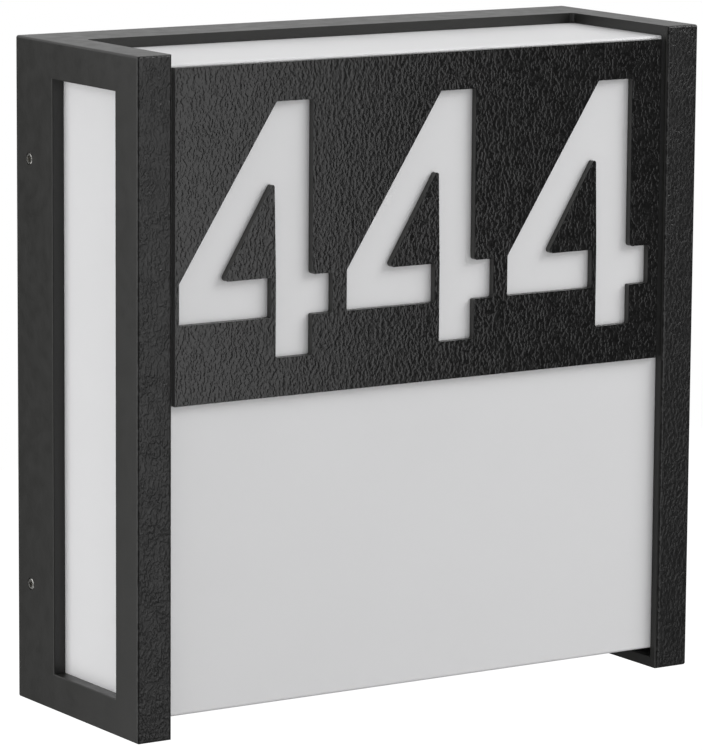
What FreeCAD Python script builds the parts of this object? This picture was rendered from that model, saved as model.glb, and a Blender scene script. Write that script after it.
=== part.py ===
import FreeCAD, Part
import math
import os
import re

import Sketcher
from FreeCAD import Placement, Rotation, Vector

# Illuminated house number sign, hung on a wall.
# +Z is up, the front faces -Y, and the wall is the plane Y = 0.
# The origin lies on the wall, at the middle of the sign.
# Formulas measure "out" as the distance from the wall, which is -Y.

SIZES = [
    # name, millimetres, meaning
    ("frame_width", 280.0, "casting, left to right"),
    ("frame_height", 283.0, "casting, bottom to top"),
    ("frame_depth", 100.0, "casting, wall to front"),
    ("side_wall", 5.4, "wall of the casting at its sides"),
    ("flange_width", 16.3, "turned-in edge at the front, top and bottom"),
    ("flange_thick", 4.4, "thickness of those edges"),
    ("band_depth", 29.8, "closed band next to the wall"),
    ("window_front", 18.2, "front edge to side window"),
    ("window_back", 30.3, "wall to side window"),
    ("window_rail", 15.7, "top or bottom edge to side window"),
    ("outer_round", 1.0, "rounding of the casting's outer edges"),
    ("lip_round", 1.5, "rounding of the front lips beside the number plate"),
    ("corner_round", 2.0, "rounding where the side lips meet the band"),
    ("window_round", 0.5, "rounding round the side windows"),
    ("seat_gap", 0.1, "play of the diffuser in the casting"),
    ("diffuser_wall", 3.0, "opal sheet"),
    ("diffuser_raise", 8.5, "bottom edge of the casting to the diffuser"),
    ("diffuser_back", 24.0, "wall to the diffuser's rear edge"),
    ("diffuser_round", 1.2, "rounding of the diffuser's outer edges"),
    ("rim_gasket_thick", 2.0, "gasket on the diffuser's rear edge"),
    ("plate_thick", 3.0, "number plate"),
    ("plate_gap", 2.1, "number plate to front lip, each side"),
    ("plate_drop", 5.7, "top of the casting to the number plate"),
    ("plate_height", 138.6, "number plate, bottom to top"),
    ("figure_rise", 16.2, "lower edge of the number plate to the figures"),
    ("figure_drop", 16.1, "top of the number plate to the figures"),
    ("figure_lead_in", 1.9, "left edge of a figure's cell to the figure"),
    ("figure_run_out", 5.2, "figure to the right edge of its cell"),
    ("stem_width", 17.7, "upright stroke"),
    ("arm_length", 9.9, "bar that stands out to the right of the stem"),
    ("bar_height", 16.6, "level stroke"),
    ("bar_raise", 17.0, "foot of the stem to the level stroke"),
    ("bridge_width", 2.3, "strip that holds the middle island"),
    ("knee_raise", 34.2, "foot of the stem to the start of the slope"),
    ("island_left", 20.8, "left edge of the figure to the island"),
    ("island_top", 74.2, "foot of the stem to the island's point, unrounded"),
    ("island_lean", 0.9, "how far the island's point stands back from the stem"),
    ("figure_round", 0.8, "rounding of the figures' corners"),
    ("island_round", 1.5, "rounding of the island's foot and of the stem's inner corner"),
    ("point_round", 0.9, "rounding of the island's point"),
    ("stud_radius", 1.5, "studs on the back of the number plate"),
    ("stud_length", 8.0, "plate to stud's end"),
    ("stud_inset", 8.0, "edge of the number plate to a stud"),
    ("stud_play", 0.2, "radial play of a stud in the diffuser"),
    ("washer_radius", 4.0, "washers under the stud nuts"),
    ("washer_thick", 0.6, "washers under the stud nuts"),
    ("stud_nut_flats", 5.5, "stud nuts, across flats"),
    ("stud_nut_height", 2.4, "stud nuts"),
    ("thread_gap", 0.05, "radial play between a thread and its hole"),
    ("clip_spacing", 140.0, "between the clips of one edge"),
    ("clip_width", 20.0, "diffuser clips"),
    ("clip_thick", 1.0, "diffuser clips"),
    ("clip_leg", 12.0, "leg screwed to the band"),
    ("clip_nose", 9.0, "leg over the diffuser's rim"),
    ("clip_screw_radius", 1.5, "clip screws"),
    ("clip_screw_grip", 3.0, "clip screw's depth in the casting"),
    ("clip_head_radius", 2.8, "clip screws"),
    ("clip_head_height", 2.0, "clip screws"),
    ("recess_length", 3.2, "cross recess of a screw head"),
    ("recess_width", 0.7, "cross recess of a screw head"),
    ("recess_depth", 1.0, "cross recess of a screw head"),
    ("set_screw_radius", 2.5, "set screws"),
    ("set_screw_length", 6.0, "set screws"),
    ("set_screw_out", 10.4, "wall to a set screw"),
    ("set_screw_spacing", 181.2, "between the two set screws of one side"),
    ("set_screw_play", 0.04, "radial play of a set screw in its thread"),
    ("set_screw_touch", 0.05, "set screw's tip to the wall plate"),
    ("socket_flats", 2.5, "hexagon socket of a set screw"),
    ("socket_depth", 2.4, "hexagon socket of a set screw"),
    ("set_screw_chamfer", 0.4, "ends of a set screw"),
    ("hood_play", 0.7, "casting to wall plate, each side"),
    ("wall_gasket_thick", 2.0, "foam between wall and wall plate"),
    ("wall_gasket_width", 12.0, "foam between wall and wall plate"),
    ("wall_gasket_inset", 1.0, "edge of the wall plate to its foam"),
    ("wall_sheet", 2.0, "sheet of the wall plate"),
    ("upstand_thick", 2.5, "bent sides of the wall plate"),
    ("upstand_depth", 18.0, "bent sides of the wall plate"),
    ("bend_round", 1.0, "inside of the wall plate's bends"),
    ("fixing_inset_x", 23.9, "wall plate's side in to the wall screws"),
    ("fixing_inset_z", 23.4, "wall plate's top or bottom in to the wall screws"),
    ("fixing_slot_width", 5.5, "slot for a wall screw"),
    ("fixing_slot_length", 14.0, "slot for a wall screw"),
    ("slot_margin", 0.02, "flat left between the round ends of a slot"),
    ("cable_height", 48.0, "middle of the sign to the cable entry"),
    ("cable_hole_radius", 11.0, "hole for the grommet"),
    ("grommet_flange", 13.5, "radius of the grommet's rims"),
    ("grommet_bore", 3.6, "radius of the grommet's bore"),
    ("grommet_rear", 1.5, "rear rim of the grommet"),
    ("grommet_front", 1.8, "front rim of the grommet"),
    ("grommet_cone", 5.0, "tapered nose of the grommet"),
    ("grommet_nose", 6.5, "radius of that nose at its tip"),
    ("soft_gap", 0.1, "play between the grommet and its hole"),
    ("bracket_sheet", 1.5, "lampholder bracket"),
    ("bracket_width", 184.0, "lampholder bracket"),
    ("bracket_reach", 68.0, "shelf of the bracket"),
    ("bracket_leg", 28.0, "leg of the bracket"),
    ("bracket_round", 8.0, "front corners of the shelf"),
    ("bracket_bend", 1.5, "inside of the bracket's bend"),
    ("shelf_drop", 64.0, "middle of the sign down to the shelf's top"),
    ("lead_window_width", 40.0, "opening in the shelf for the leads"),
    ("lead_window_depth", 15.0, "opening in the shelf for the leads"),
    ("lead_window_start", 3.5, "bracket's back to that opening"),
    ("lead_window_round", 3.0, "corners of that opening"),
    ("screw_radius", 2.0, "bracket and earth screws"),
    ("screw_head_radius", 4.0, "bracket and earth screws"),
    ("screw_head_height", 2.6, "bracket and earth screws"),
    ("screw_tail", 1.0, "screw end behind the wall plate"),
    ("bracket_screw_inner", 60.0, "between the inner bracket screws"),
    ("bracket_screw_outer", 160.0, "between the outer bracket screws"),
    ("bracket_screw_drop", 15.0, "shelf's top down to the bracket screws"),
    ("lamp_spacing", 124.0, "between the two lamps"),
    ("lamp_out", 48.0, "wall to the lamps' axis"),
    ("nipple_radius", 5.0, "threaded tube under a lampholder"),
    ("nipple_bore", 4.0, "threaded tube under a lampholder"),
    ("nipple_up", 3.0, "threaded tube above the shelf"),
    ("nipple_down", 6.0, "threaded tube below the shelf"),
    ("nipple_nut_flats", 14.0, "nut under the shelf"),
    ("nipple_nut_height", 3.5, "nut under the shelf"),
    ("holder_radius", 19.5, "lampholder"),
    ("holder_height", 44.0, "lampholder"),
    ("holder_wall", 2.2, "lampholder"),
    ("holder_foot_radius", 13.0, "lampholder"),
    ("holder_foot_height", 4.0, "lampholder"),
    ("holder_cone_height", 14.0, "lampholder's foot to its straight skirt"),
    ("holder_floor", 3.0, "lampholder"),
    ("insert_seat", 16.0, "lampholder's foot to its insert"),
    ("insert_disc", 5.0, "disc of the insert"),
    ("insert_collar", 20.0, "collar of the insert above the disc"),
    ("insert_play", 0.1, "play of the insert in the lampholder"),
    ("contact_height", 3.0, "centre contact"),
    ("contact_radius", 4.0, "centre contact"),
    ("shell_wall", 0.6, "threaded shell of the lampholder"),
    ("shell_play", 0.1, "radial play of the cap in that shell"),
    ("cap_radius", 13.1, "lamp cap, over the thread"),
    ("cap_thread", 0.7, "depth of the cap's thread"),
    ("cap_pitch", 3.62, "pitch of the cap's thread"),
    ("cap_rim", 2.5, "plain rim of the cap"),
    ("insulator_height", 5.0, "insulator under the cap"),
    ("insulator_radius", 9.5, "insulator under the cap"),
    ("tip_radius", 4.5, "contact on the insulator"),
    ("tip_gap", 0.1, "lamp to centre contact"),
    ("neck_foot_radius", 14.2, "lamp neck at the cap"),
    ("neck_height", 36.0, "lamp neck"),
    ("neck_round", 20.0, "hollow curve of the lamp neck"),
    ("globe_radius", 30.0, "lamp globe"),
    ("globe_straight", 12.0, "straight part under the globe's dome"),
    ("block_width", 34.0, "terminal block"),
    ("block_height", 18.0, "terminal block"),
    ("block_depth", 17.0, "terminal block"),
    ("block_drop", 10.0, "middle of the sign down to the terminal block"),
    ("block_groove", 1.6, "grooves between the poles"),
    ("block_groove_depth", 8.0, "grooves between the poles"),
    ("pole_spacing", 11.0, "poles of the terminal block"),
    ("clamp_out", 8.0, "foot of the terminal block to the clamps' axis"),
    ("clamp_radius", 2.9, "brass clamps"),
    ("clamp_bore", 2.4, "brass clamps"),
    ("clamp_length", 15.0, "brass clamps"),
    ("clamp_screw_radius", 1.6, "screws of the clamps"),
    ("clamp_screw_length", 4.0, "screws of the clamps"),
    ("clamp_screw_spacing", 9.0, "between the two screws of a pole"),
    ("slot_screw_width", 0.6, "driver slot of a clamp screw"),
    ("slot_screw_depth", 1.0, "driver slot of a clamp screw"),
    ("block_screw_radius", 1.2, "screws that hold the terminal block"),
    ("block_head_radius", 2.2, "screws that hold the terminal block"),
    ("block_head_height", 1.8, "screws that hold the terminal block"),
    ("earth_drop", 54.0, "middle of the sign down to the earth screw"),
    ("earth_washer_radius", 4.3, "toothed washer"),
    ("earth_washer_thick", 0.6, "toothed washer"),
    ("lug_radius", 4.2, "ring of the earth lug"),
    ("lug_sheet", 0.8, "earth lug"),
    ("lug_neck", 3.0, "width of the strip between ring and barrel"),
    ("barrel_radius", 1.9, "barrel of the earth lug"),
    ("barrel_start", 6.0, "earth screw up to the barrel"),
    ("barrel_length", 8.0, "barrel of the earth lug"),
    ("lead_radius", 1.1, "internal leads"),
    ("lead_pair_block", 1.2, "half the distance of two leads in a clamp"),
    ("lead_pair_lamp", 1.6, "half the distance of two leads in a nipple"),
    ("lead_grip", 5.0, "lead inside a clamp or barrel"),
    ("lead_fall", 20.0, "leads' straight fall below the terminal block"),
    ("lead_hang", 37.0, "shelf down to the lowest point of an outer lead"),
    ("lead_reach", 22.0, "lamp's axis to where an outer lead turns under it"),
    ("crossing_hang", 29.0, "shelf down to the lowest point of a crossing lead"),
    ("crossing_reach", 28.0, "lamp's axis to where a crossing lead turns under it"),
    ("lead_swing", 15.0, "lamp's axis back to that turn"),
    ("lead_rise", 12.0, "lowest point of a lead up to where it points into the nipple"),
    ("lead_slope", 7.0, "lowest point of a lead up to where it turns under the lamp"),
    ("earth_fall", 4.5, "earth lead's straight fall below the terminal block"),
    ("earth_entry", 6.0, "earth lead's straight run above its barrel"),
]

NAMES = {name for name, size, meaning in SIZES}
WORD = re.compile(r"[a-z_]\w*")

doc = FreeCAD.newDocument("house_number_sign")
sheet = doc.addObject("Spreadsheet::Sheet", "Sizes")
for row, (name, size, meaning) in enumerate(SIZES, 1):
    sheet.set(f"A{row}", meaning)
    sheet.set(f"B{row}", str(size))
    sheet.setAlias(f"B{row}", name)
doc.recompute()


def formula(text):
    """The text as a formula that reads the named sizes from the sheet."""
    return WORD.sub(lambda word: f"Sizes.{word.group()}" if word.group() in NAMES else word.group(), text)


def value(text):
    """The number that a formula gives."""
    return float(sheet.evalExpression(formula(text)))


def bind(item, setting, text):
    item.setExpression(setting, formula(text))


# ---- places that several pieces share, as formulas of the sizes ----

HALF_WIDTH = "(frame_width / 2)"
HALF_HEIGHT = "(frame_height / 2)"
INSIDE_X = "(frame_width / 2 - side_wall)"
INSIDE_Z = "(frame_height / 2 - flange_thick)"
OPENING_X = "(frame_width / 2 - flange_width)"

DIFFUSER_X = f"({INSIDE_X} - seat_gap)"
DIFFUSER_TOP = f"({INSIDE_Z} - seat_gap)"
DIFFUSER_BOTTOM = f"(diffuser_raise - {HALF_HEIGHT})"
DIFFUSER_FRONT = "(frame_depth - flange_thick - seat_gap)"
DIFFUSER_FACE_IN = f"({DIFFUSER_FRONT} - diffuser_wall)"

PLATE_X = f"({OPENING_X} - plate_gap)"
PLATE_TOP = f"({HALF_HEIGHT} - plate_drop)"
PLATE_BOTTOM = f"({PLATE_TOP} - plate_height)"
CELL_WIDTH = f"({PLATE_X} * 2 / 3)"
FIGURE_FOOT = f"({PLATE_BOTTOM} + figure_rise)"
FIGURE_HEIGHT = "(plate_height - figure_drop - figure_rise)"
FIGURE_WIDTH = f"({CELL_WIDTH} - figure_lead_in - figure_run_out)"

WALL_PLATE_X = f"({INSIDE_X} - hood_play)"
WALL_PLATE_Z = f"({INSIDE_Z} - hood_play - clip_thick - clip_head_height)"
FLOOR = "(wall_gasket_thick + wall_sheet)"

RIM_BACK = "(diffuser_back - rim_gasket_thick)"
CLIP_SCREW_OUT = f"({RIM_BACK} - clip_leg / 2)"

SHELF_UNDER = "(shelf_drop + bracket_sheet)"
LAMP_X = "(lamp_spacing / 2)"
INSERT_RADIUS = "(holder_radius - holder_wall - insert_play)"
SHELL_INSIDE = "(cap_radius + shell_play)"
SHELL_OUTSIDE = f"({SHELL_INSIDE} + shell_wall)"
LAMP_FOOT = "(insert_seat + insert_disc + contact_height + tip_gap - shelf_drop)"

CLAMP_AXIS_OUT = f"({FLOOR} + clamp_out)"
BLOCK_FOOT = "(-block_drop - block_height / 2)"
BARREL_OUT = f"({FLOOR} + barrel_radius)"

# Places of the things that come more than once: across and height, or one of the two.
SET_SCREW_HEIGHTS = ("-set_screw_spacing / 2", "set_screw_spacing / 2")
CLIP_PLACES = ("-clip_spacing / 2", "clip_spacing / 2")
STUD_PLACES = [(f"{across} * ({PLATE_X} - stud_inset)", height)
               for across in (-1, 0, 1)
               for height in (f"{PLATE_TOP} - stud_inset", f"{PLATE_BOTTOM} + stud_inset")]
FIXING_PLACES = [(f"{side} * ({WALL_PLATE_X} - fixing_inset_x)",
                  f"{up} * ({WALL_PLATE_Z} - fixing_inset_z)")
                 for side in (-1, 1) for up in (-1, 1)]
BRACKET_SCREW_PLACES = [(f"{side} * {spacing} / 2", "-shelf_drop - bracket_screw_drop")
                        for spacing in ("bracket_screw_inner", "bracket_screw_outer")
                        for side in (-1, 1)]
POLES = ("-pole_spacing", "0", "pole_spacing")
BLOCK_SCREW_PLACES = [(f"{side} * pole_spacing / 2", "-block_drop") for side in (-1, 1)]
CLAMP_SCREW_PLACES = [(pole, f"-block_drop + {up} * clamp_screw_spacing / 2")
                      for pole in POLES for up in (-1, 1)]

# Corners of a figure's outline, by number: those rounded more or less than the rest, and the one
# that lies on the stem's straight left side.
FIGURE_ROUNDS = {3: "island_round", 4: "point_round", 11: "island_round"}
SMOOTH_CORNER = 5


# ---- drawing helpers ----

def new_body(label):
    body = doc.addObject("PartDesign::Body", label)
    body.Label = label
    return body


def new_sketch(body, name, role, offset="0"):
    """A sketch on one of the body's own planes, moved along the plane's normal."""
    sketch = body.newObject("Sketcher::SketchObject", name)
    plane = next(item for item in body.Origin.OriginFeatures if item.Role == role)
    sketch.AttachmentSupport = (plane, [""])
    sketch.MapMode = "FlatFace"
    bind(sketch, ".AttachmentOffset.Base.z", offset)
    return sketch


def front_sketch(body, name, out="0"):
    """Seen from the front: X across, Z up, on a plane parallel to the wall."""
    return new_sketch(body, name, "XZ_Plane", out)


def level_sketch(body, name, height="0"):
    """Seen from above: X across, Y up, on a level plane."""
    return new_sketch(body, name, "XY_Plane", height)


def side_sketch(body, name, across="0"):
    """Seen from the right: Y across, Z up, on an upright plane."""
    return new_sketch(body, name, "YZ_Plane", across)


def pin_point(sketch, item, point, corner):
    """Holds one point of the sketch at the corner's two formulas."""
    for kind, text in zip(("DistanceX", "DistanceY"), corner):
        number = sketch.addConstraint(Sketcher.Constraint(kind, -1, 1, item, point, value(text)))
        bind(sketch, f"Constraints[{number}]", text)


def polygon(sketch, corners):
    """A closed loop of straight lines through corners, given as pairs of formulas."""
    first = sketch.GeometryCount
    places = [Vector(value(across), value(up), 0) for across, up in corners]
    for start, end in zip(places, places[1:] + places[:1]):
        sketch.addGeometry(Part.LineSegment(start, end))
    for step, corner in enumerate(corners):
        line = first + step
        following = first + (step + 1) % len(corners)
        sketch.addConstraint(Sketcher.Constraint("Coincident", line, 2, following, 1))
        pin_point(sketch, line, 1, corner)


def rectangle(sketch, left, right, bottom, top):
    polygon(sketch, [(left, bottom), (right, bottom), (right, top), (left, top)])


def outer_corner(sketch, across, up, right, high, radius):
    """The sliver that rounds a corner; right and high, 1 or -1, point from the corner into the piece."""
    middle = (f"{across} + {right} * {radius}", f"{up} + {high} * {radius}")
    corners = [(middle[0], up), (across, up), (across, middle[1])]
    places = [Vector(value(along), value(level), 0) for along, level in corners]
    sliver = [Part.LineSegment(places[0], places[1]), Part.LineSegment(places[1], places[2])]
    inner = Vector(value(middle[0]), value(middle[1]), 0)
    towards = (places[1] - inner).normalize() * value(radius)
    sliver.append(Part.Arc(places[2], inner + towards, places[0]))
    first = sketch.GeometryCount
    sketch.addGeometry(sliver)
    for start, end in ((0, 1),):
        sketch.addConstraint(Sketcher.Constraint("Coincident", first + start, 2, first + end, 1))
    for item, point, corner in ((0, 1, corners[0]), (1, 1, corners[1]), (1, 2, corners[2])):
        pin_point(sketch, first + item, point, corner)
    ends = (2, 1) if right * high > 0 else (1, 2)
    sketch.addConstraint(Sketcher.Constraint("Coincident", first + 2, ends[0], first, 1))
    sketch.addConstraint(Sketcher.Constraint("Coincident", first + 2, ends[1], first + 1, 2))
    number = sketch.addConstraint(Sketcher.Constraint("Radius", first + 2, value(radius)))
    bind(sketch, f"Constraints[{number}]", radius)


def circle(sketch, across, up, radius):
    place = Vector(value(across), value(up), 0)
    item = sketch.addGeometry(Part.Circle(place, Vector(0, 0, 1), value(radius)))
    pin_point(sketch, item, 3, (across, up))
    number = sketch.addConstraint(Sketcher.Constraint("Radius", item, value(radius)))
    bind(sketch, f"Constraints[{number}]", radius)


def hexagon(sketch, across, up, flats):
    """A hexagon with two corners level with its middle."""
    corner = f"({flats} / sqrt(3))"
    steps = [(1, 0), (0.5, 0.5), (-0.5, 0.5), (-1, 0), (-0.5, -0.5), (0.5, -0.5)]
    polygon(sketch, [(f"{across} + {corner} * {right}", f"{up} + {flats} * {high}")
                     for right, high in steps])


def cross(sketch, across, up, length, width):
    """A cross recess as one outline of twelve corners."""
    far = f"{length} / 2"
    near = f"{width} / 2"
    steps = [
        (far, f"-{near}"), (far, near), (near, near), (near, far),
        (f"-{near}", far), (f"-{near}", near), (f"-{far}", near), (f"-{far}", f"-{near}"),
        (f"-{near}", f"-{near}"), (f"-{near}", f"-{far}"), (near, f"-{far}"), (near, f"-{near}"),
    ]
    polygon(sketch, [(f"{across} + ({right})", f"{up} + ({high})") for right, high in steps])


def pad(body, sketch, length, backward=False):
    feature = body.newObject("PartDesign::Pad", f"{sketch.Name}_pad")
    feature.Profile = sketch
    feature.Reversed = backward
    bind(feature, "Length", length)
    doc.recompute()
    return feature


def pocket(body, sketch, length, backward=False):
    """Cuts against the sketch's normal, or along it when backward; it must remove something."""
    before = body.Shape.Volume
    feature = body.newObject("PartDesign::Pocket", f"{sketch.Name}_cut")
    feature.Profile = sketch
    feature.Reversed = backward
    bind(feature, "Length", length)
    doc.recompute()
    if not feature.Shape.Volume < before:
        raise RuntimeError(f"{body.Label}: {feature.Name} removes nothing")
    return feature


def revolve(body, sketch, axis):
    feature = body.newObject("PartDesign::Revolution", f"{sketch.Name}_turned")
    feature.Profile = sketch
    feature.ReferenceAxis = (sketch, [axis])
    feature.Angle = 360
    doc.recompute()
    return feature


def turned(label, corners):
    """A body turned round its own Z axis; corners are (radius, height)."""
    body = new_body(label)
    sketch = front_sketch(body, "half_profile")
    polygon(sketch, corners)
    revolve(body, sketch, "V_Axis")
    return body


def lies_at(edge, **places):
    """True where the whole edge has the given coordinates, as in z=12.0."""
    box = edge.BoundBox
    ends = {"x": (box.XMin, box.XMax), "y": (box.YMin, box.YMax), "z": (box.ZMin, box.ZMax)}
    return all(abs(end - place) < 0.01 for axis, place in places.items() for end in ends[axis])


def runs_along(edge, axis):
    """True where a straight edge lies along axis, a letter."""
    box = edge.BoundBox
    spans = {"x": box.XLength, "y": box.YLength, "z": box.ZLength}
    return edge.Curve.TypeId == "Part::GeomLine" and abs(spans[axis] - edge.Length) < 0.01


def soften(body, kind, name, size, wanted):
    """A fillet or chamfer on the edges of the body's present tip that wanted picks."""
    base = body.Tip
    edges = [f"Edge{number}" for number, edge in enumerate(base.Shape.Edges, 1)
             if not edge.Degenerated and wanted(edge)]
    if not edges:
        raise RuntimeError(f"{body.Label}: no edge for {name}")
    feature = body.newObject(f"PartDesign::{kind}", name)
    feature.Base = (base, edges)
    bind(feature, "Radius" if kind == "Fillet" else "Size", size)
    doc.recompute()
    return feature


def move_to(body, across="0", out="0", height="0"):
    bind(body, ".Placement.Base.x", across)
    bind(body, ".Placement.Base.y", f"-({out})")
    bind(body, ".Placement.Base.z", height)


def add_screws(body, name, draw, seat, places, up, head, shank, recess):
    """Cross-recess screws on the plane that draw and seat give, heads on the side up (1 or -1)."""
    head_radius, head_height = head
    shank_radius, shank_length = shank
    heads = draw(body, f"{name}_heads", seat)
    for across, high in places:
        circle(heads, across, high, head_radius)
    pad(body, heads, head_height, backward=up < 0)
    shanks = draw(body, f"{name}_shanks", seat)
    for across, high in places:
        circle(shanks, across, high, shank_radius)
    pad(body, shanks, shank_length, backward=up > 0)
    if recess:
        tops = draw(body, f"{name}_recesses", f"{seat} + {up} * {head_height}")
        for across, high in places:
            cross(tops, across, high, "recess_length", "recess_width")
        pocket(body, tops, "recess_depth", backward=up < 0)


# ---- the hood: casting, diffuser and number plate ----

def make_frame():
    """One casting: a band at the wall, and two side frames with turned-in lips."""
    body = new_body("frame")
    block = front_sketch(body, "block")
    rectangle(block, f"-{HALF_WIDTH}", HALF_WIDTH, f"-{HALF_HEIGHT}", HALF_HEIGHT)
    pad(body, block, "frame_depth")
    soften(body, "Fillet", "outer_edges", "outer_round", lambda edge: not lies_at(edge, y=0))

    inside = front_sketch(body, "inside", "frame_depth - flange_thick")
    rectangle(inside, f"-{INSIDE_X}", INSIDE_X, f"-{INSIDE_Z}", INSIDE_Z)
    pocket(body, inside, "frame_depth - flange_thick")

    opening = level_sketch(body, "opening", HALF_HEIGHT)
    rectangle(opening, f"-{OPENING_X}", OPENING_X, "-frame_depth", "-band_depth")
    pocket(body, opening, "frame_height")

    windows = side_sketch(body, "windows", HALF_WIDTH)
    rectangle(windows, "window_front - frame_depth", "-window_back",
              f"window_rail - {HALF_HEIGHT}", f"{HALF_HEIGHT} - window_rail")
    pocket(body, windows, "frame_width")

    lip = value(OPENING_X)
    band = -value("band_depth")
    side = value(HALF_WIDTH)
    window_span = value("frame_height - window_rail * 2")
    lips = level_sketch(body, "lip_edges", HALF_HEIGHT)
    for sign in (-1, 1):
        outer_corner(lips, f"{sign} * {OPENING_X}", "-frame_depth", sign, 1, "lip_round")
    pocket(body, lips, "frame_height")
    soften(body, "Fillet", "band_corners", "corner_round",
           lambda edge: runs_along(edge, "z")
           and any(lies_at(edge, x=place, y=band) for place in (lip, -lip)))
    soften(body, "Fillet", "window_edges", "window_round",
           lambda edge: any(lies_at(edge, x=place) for place in (side, -side))
           and abs(edge.CenterOfMass.y) < value("frame_depth - window_front") + 1
           and abs(edge.CenterOfMass.y) > value("window_back") - 1
           and edge.BoundBox.ZLength < window_span + 1
           and abs(edge.CenterOfMass.z) < window_span / 2 + 1)

    threads = side_sketch(body, "set_screw_threads", HALF_WIDTH)
    for height in SET_SCREW_HEIGHTS:
        circle(threads, "-set_screw_out", height, "set_screw_radius + set_screw_play")
    pocket(body, threads, "frame_width")

    for name, height, downward in (("upper", INSIDE_Z, False), ("lower", f"-{INSIDE_Z}", True)):
        holes = level_sketch(body, f"{name}_clip_threads", height)
        for across in CLIP_PLACES:
            circle(holes, across, f"-{CLIP_SCREW_OUT}", "clip_screw_radius + thread_gap")
        pocket(body, holes, "clip_screw_grip", backward=not downward)
    return body


def make_diffuser():
    """Opal box, open towards the wall, behind the lips of the casting."""
    body = new_body("diffuser")
    outline = front_sketch(body, "outline", "diffuser_back")
    rectangle(outline, f"-{DIFFUSER_X}", DIFFUSER_X, DIFFUSER_BOTTOM, DIFFUSER_TOP)
    pad(body, outline, f"{DIFFUSER_FRONT} - diffuser_back")
    back = -value("diffuser_back")
    soften(body, "Fillet", "outer_edges", "diffuser_round", lambda edge: not lies_at(edge, y=back))
    inside = front_sketch(body, "inside", DIFFUSER_FACE_IN)
    rectangle(inside, f"diffuser_wall - {DIFFUSER_X}", f"{DIFFUSER_X} - diffuser_wall",
              f"{DIFFUSER_BOTTOM} + diffuser_wall", f"{DIFFUSER_TOP} - diffuser_wall")
    pocket(body, inside, f"{DIFFUSER_FACE_IN} - diffuser_back")
    holes = front_sketch(body, "stud_holes", DIFFUSER_FRONT)
    for across, height in STUD_PLACES:
        circle(holes, across, height, "stud_radius + stud_play")
    pocket(body, holes, "diffuser_wall")
    return body


def make_rim_gasket():
    """Soft ring on the diffuser's rear edge, under the clips."""
    body = new_body("diffuser_gasket")
    ring = front_sketch(body, "ring", RIM_BACK)
    rectangle(ring, f"-{DIFFUSER_X}", DIFFUSER_X, DIFFUSER_BOTTOM, DIFFUSER_TOP)
    rectangle(ring, f"diffuser_wall - {DIFFUSER_X}", f"{DIFFUSER_X} - diffuser_wall",
              f"{DIFFUSER_BOTTOM} + diffuser_wall", f"{DIFFUSER_TOP} - diffuser_wall")
    pad(body, ring, "rim_gasket_thick")
    return body


def figure_corners(cell):
    """The outline of one stencil figure four in the cell with that number, from its lower left."""
    left = f"(figure_lead_in - {PLATE_X} + {CELL_WIDTH} * {cell})"
    stem_right = f"{FIGURE_WIDTH} - arm_length"
    stem_left = f"{stem_right} - stem_width"
    bar_top = "bar_raise + bar_height"
    bar_end = f"{stem_left} - bridge_width"
    steps = [
        ("0", "bar_raise"), (bar_end, "bar_raise"), (bar_end, bar_top),
        ("island_left", bar_top), (f"{stem_left} - island_lean", "island_top"), (stem_left, bar_top),
        (stem_left, "0"),
        (stem_right, "0"), (stem_right, "bar_raise"), (FIGURE_WIDTH, "bar_raise"),
        (FIGURE_WIDTH, bar_top), (stem_right, bar_top), (stem_right, FIGURE_HEIGHT),
        (stem_left, FIGURE_HEIGHT), ("0", "knee_raise"),
    ]
    return [(f"{left} + {across}", f"{FIGURE_FOOT} + {up}") for across, up in steps]


def make_number_plate():
    """Sheet with three stencil cut figures, each in a third of its width."""
    body = new_body("number_plate")
    outline = front_sketch(body, "outline", DIFFUSER_FRONT)
    rectangle(outline, f"-{PLATE_X}", PLATE_X, PLATE_BOTTOM, PLATE_TOP)
    pad(body, outline, "plate_thick")
    figures = front_sketch(body, "figures", f"{DIFFUSER_FRONT} + plate_thick")
    for cell in range(3):
        polygon(figures, figure_corners(cell))
    pocket(body, figures, "plate_thick")
    places = {}
    for cell in range(3):
        for number, (across, up) in enumerate(figure_corners(cell)):
            if number != SMOOTH_CORNER:
                radius = FIGURE_ROUNDS.get(number, "figure_round")
                places.setdefault(radius, []).append((value(across), value(up)))

    def stands_on(edge, corners):
        middle = edge.CenterOfMass
        return runs_along(edge, "y") and any(
            math.hypot(middle.x - across, middle.z - up) < 0.02 for across, up in corners)

    for radius, corners in places.items():
        soften(body, "Fillet", f"{radius}ed_corners", radius, lambda edge: stands_on(edge, corners))
    return body


def make_plate_fixings():
    """Studs on the plate's back, through the diffuser, with washers and nuts inside."""
    studs = new_body("plate_studs")
    roots = front_sketch(studs, "roots", DIFFUSER_FRONT)
    for across, height in STUD_PLACES:
        circle(roots, across, height, "stud_radius")
    pad(studs, roots, "stud_length", backward=True)

    washers = new_body("plate_washers")
    rings = front_sketch(washers, "rings", DIFFUSER_FACE_IN)
    nuts = new_body("plate_nuts")
    hexagons = front_sketch(nuts, "hexagons", f"{DIFFUSER_FACE_IN} - washer_thick")
    for across, height in STUD_PLACES:
        circle(rings, across, height, "washer_radius")
        circle(rings, across, height, "stud_radius + thread_gap")
        hexagon(hexagons, across, height, "stud_nut_flats")
        circle(hexagons, across, height, "stud_radius + thread_gap")
    pad(washers, rings, "washer_thick", backward=True)
    pad(nuts, hexagons, "stud_nut_height", backward=True)
    return [studs, washers, nuts]


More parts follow.
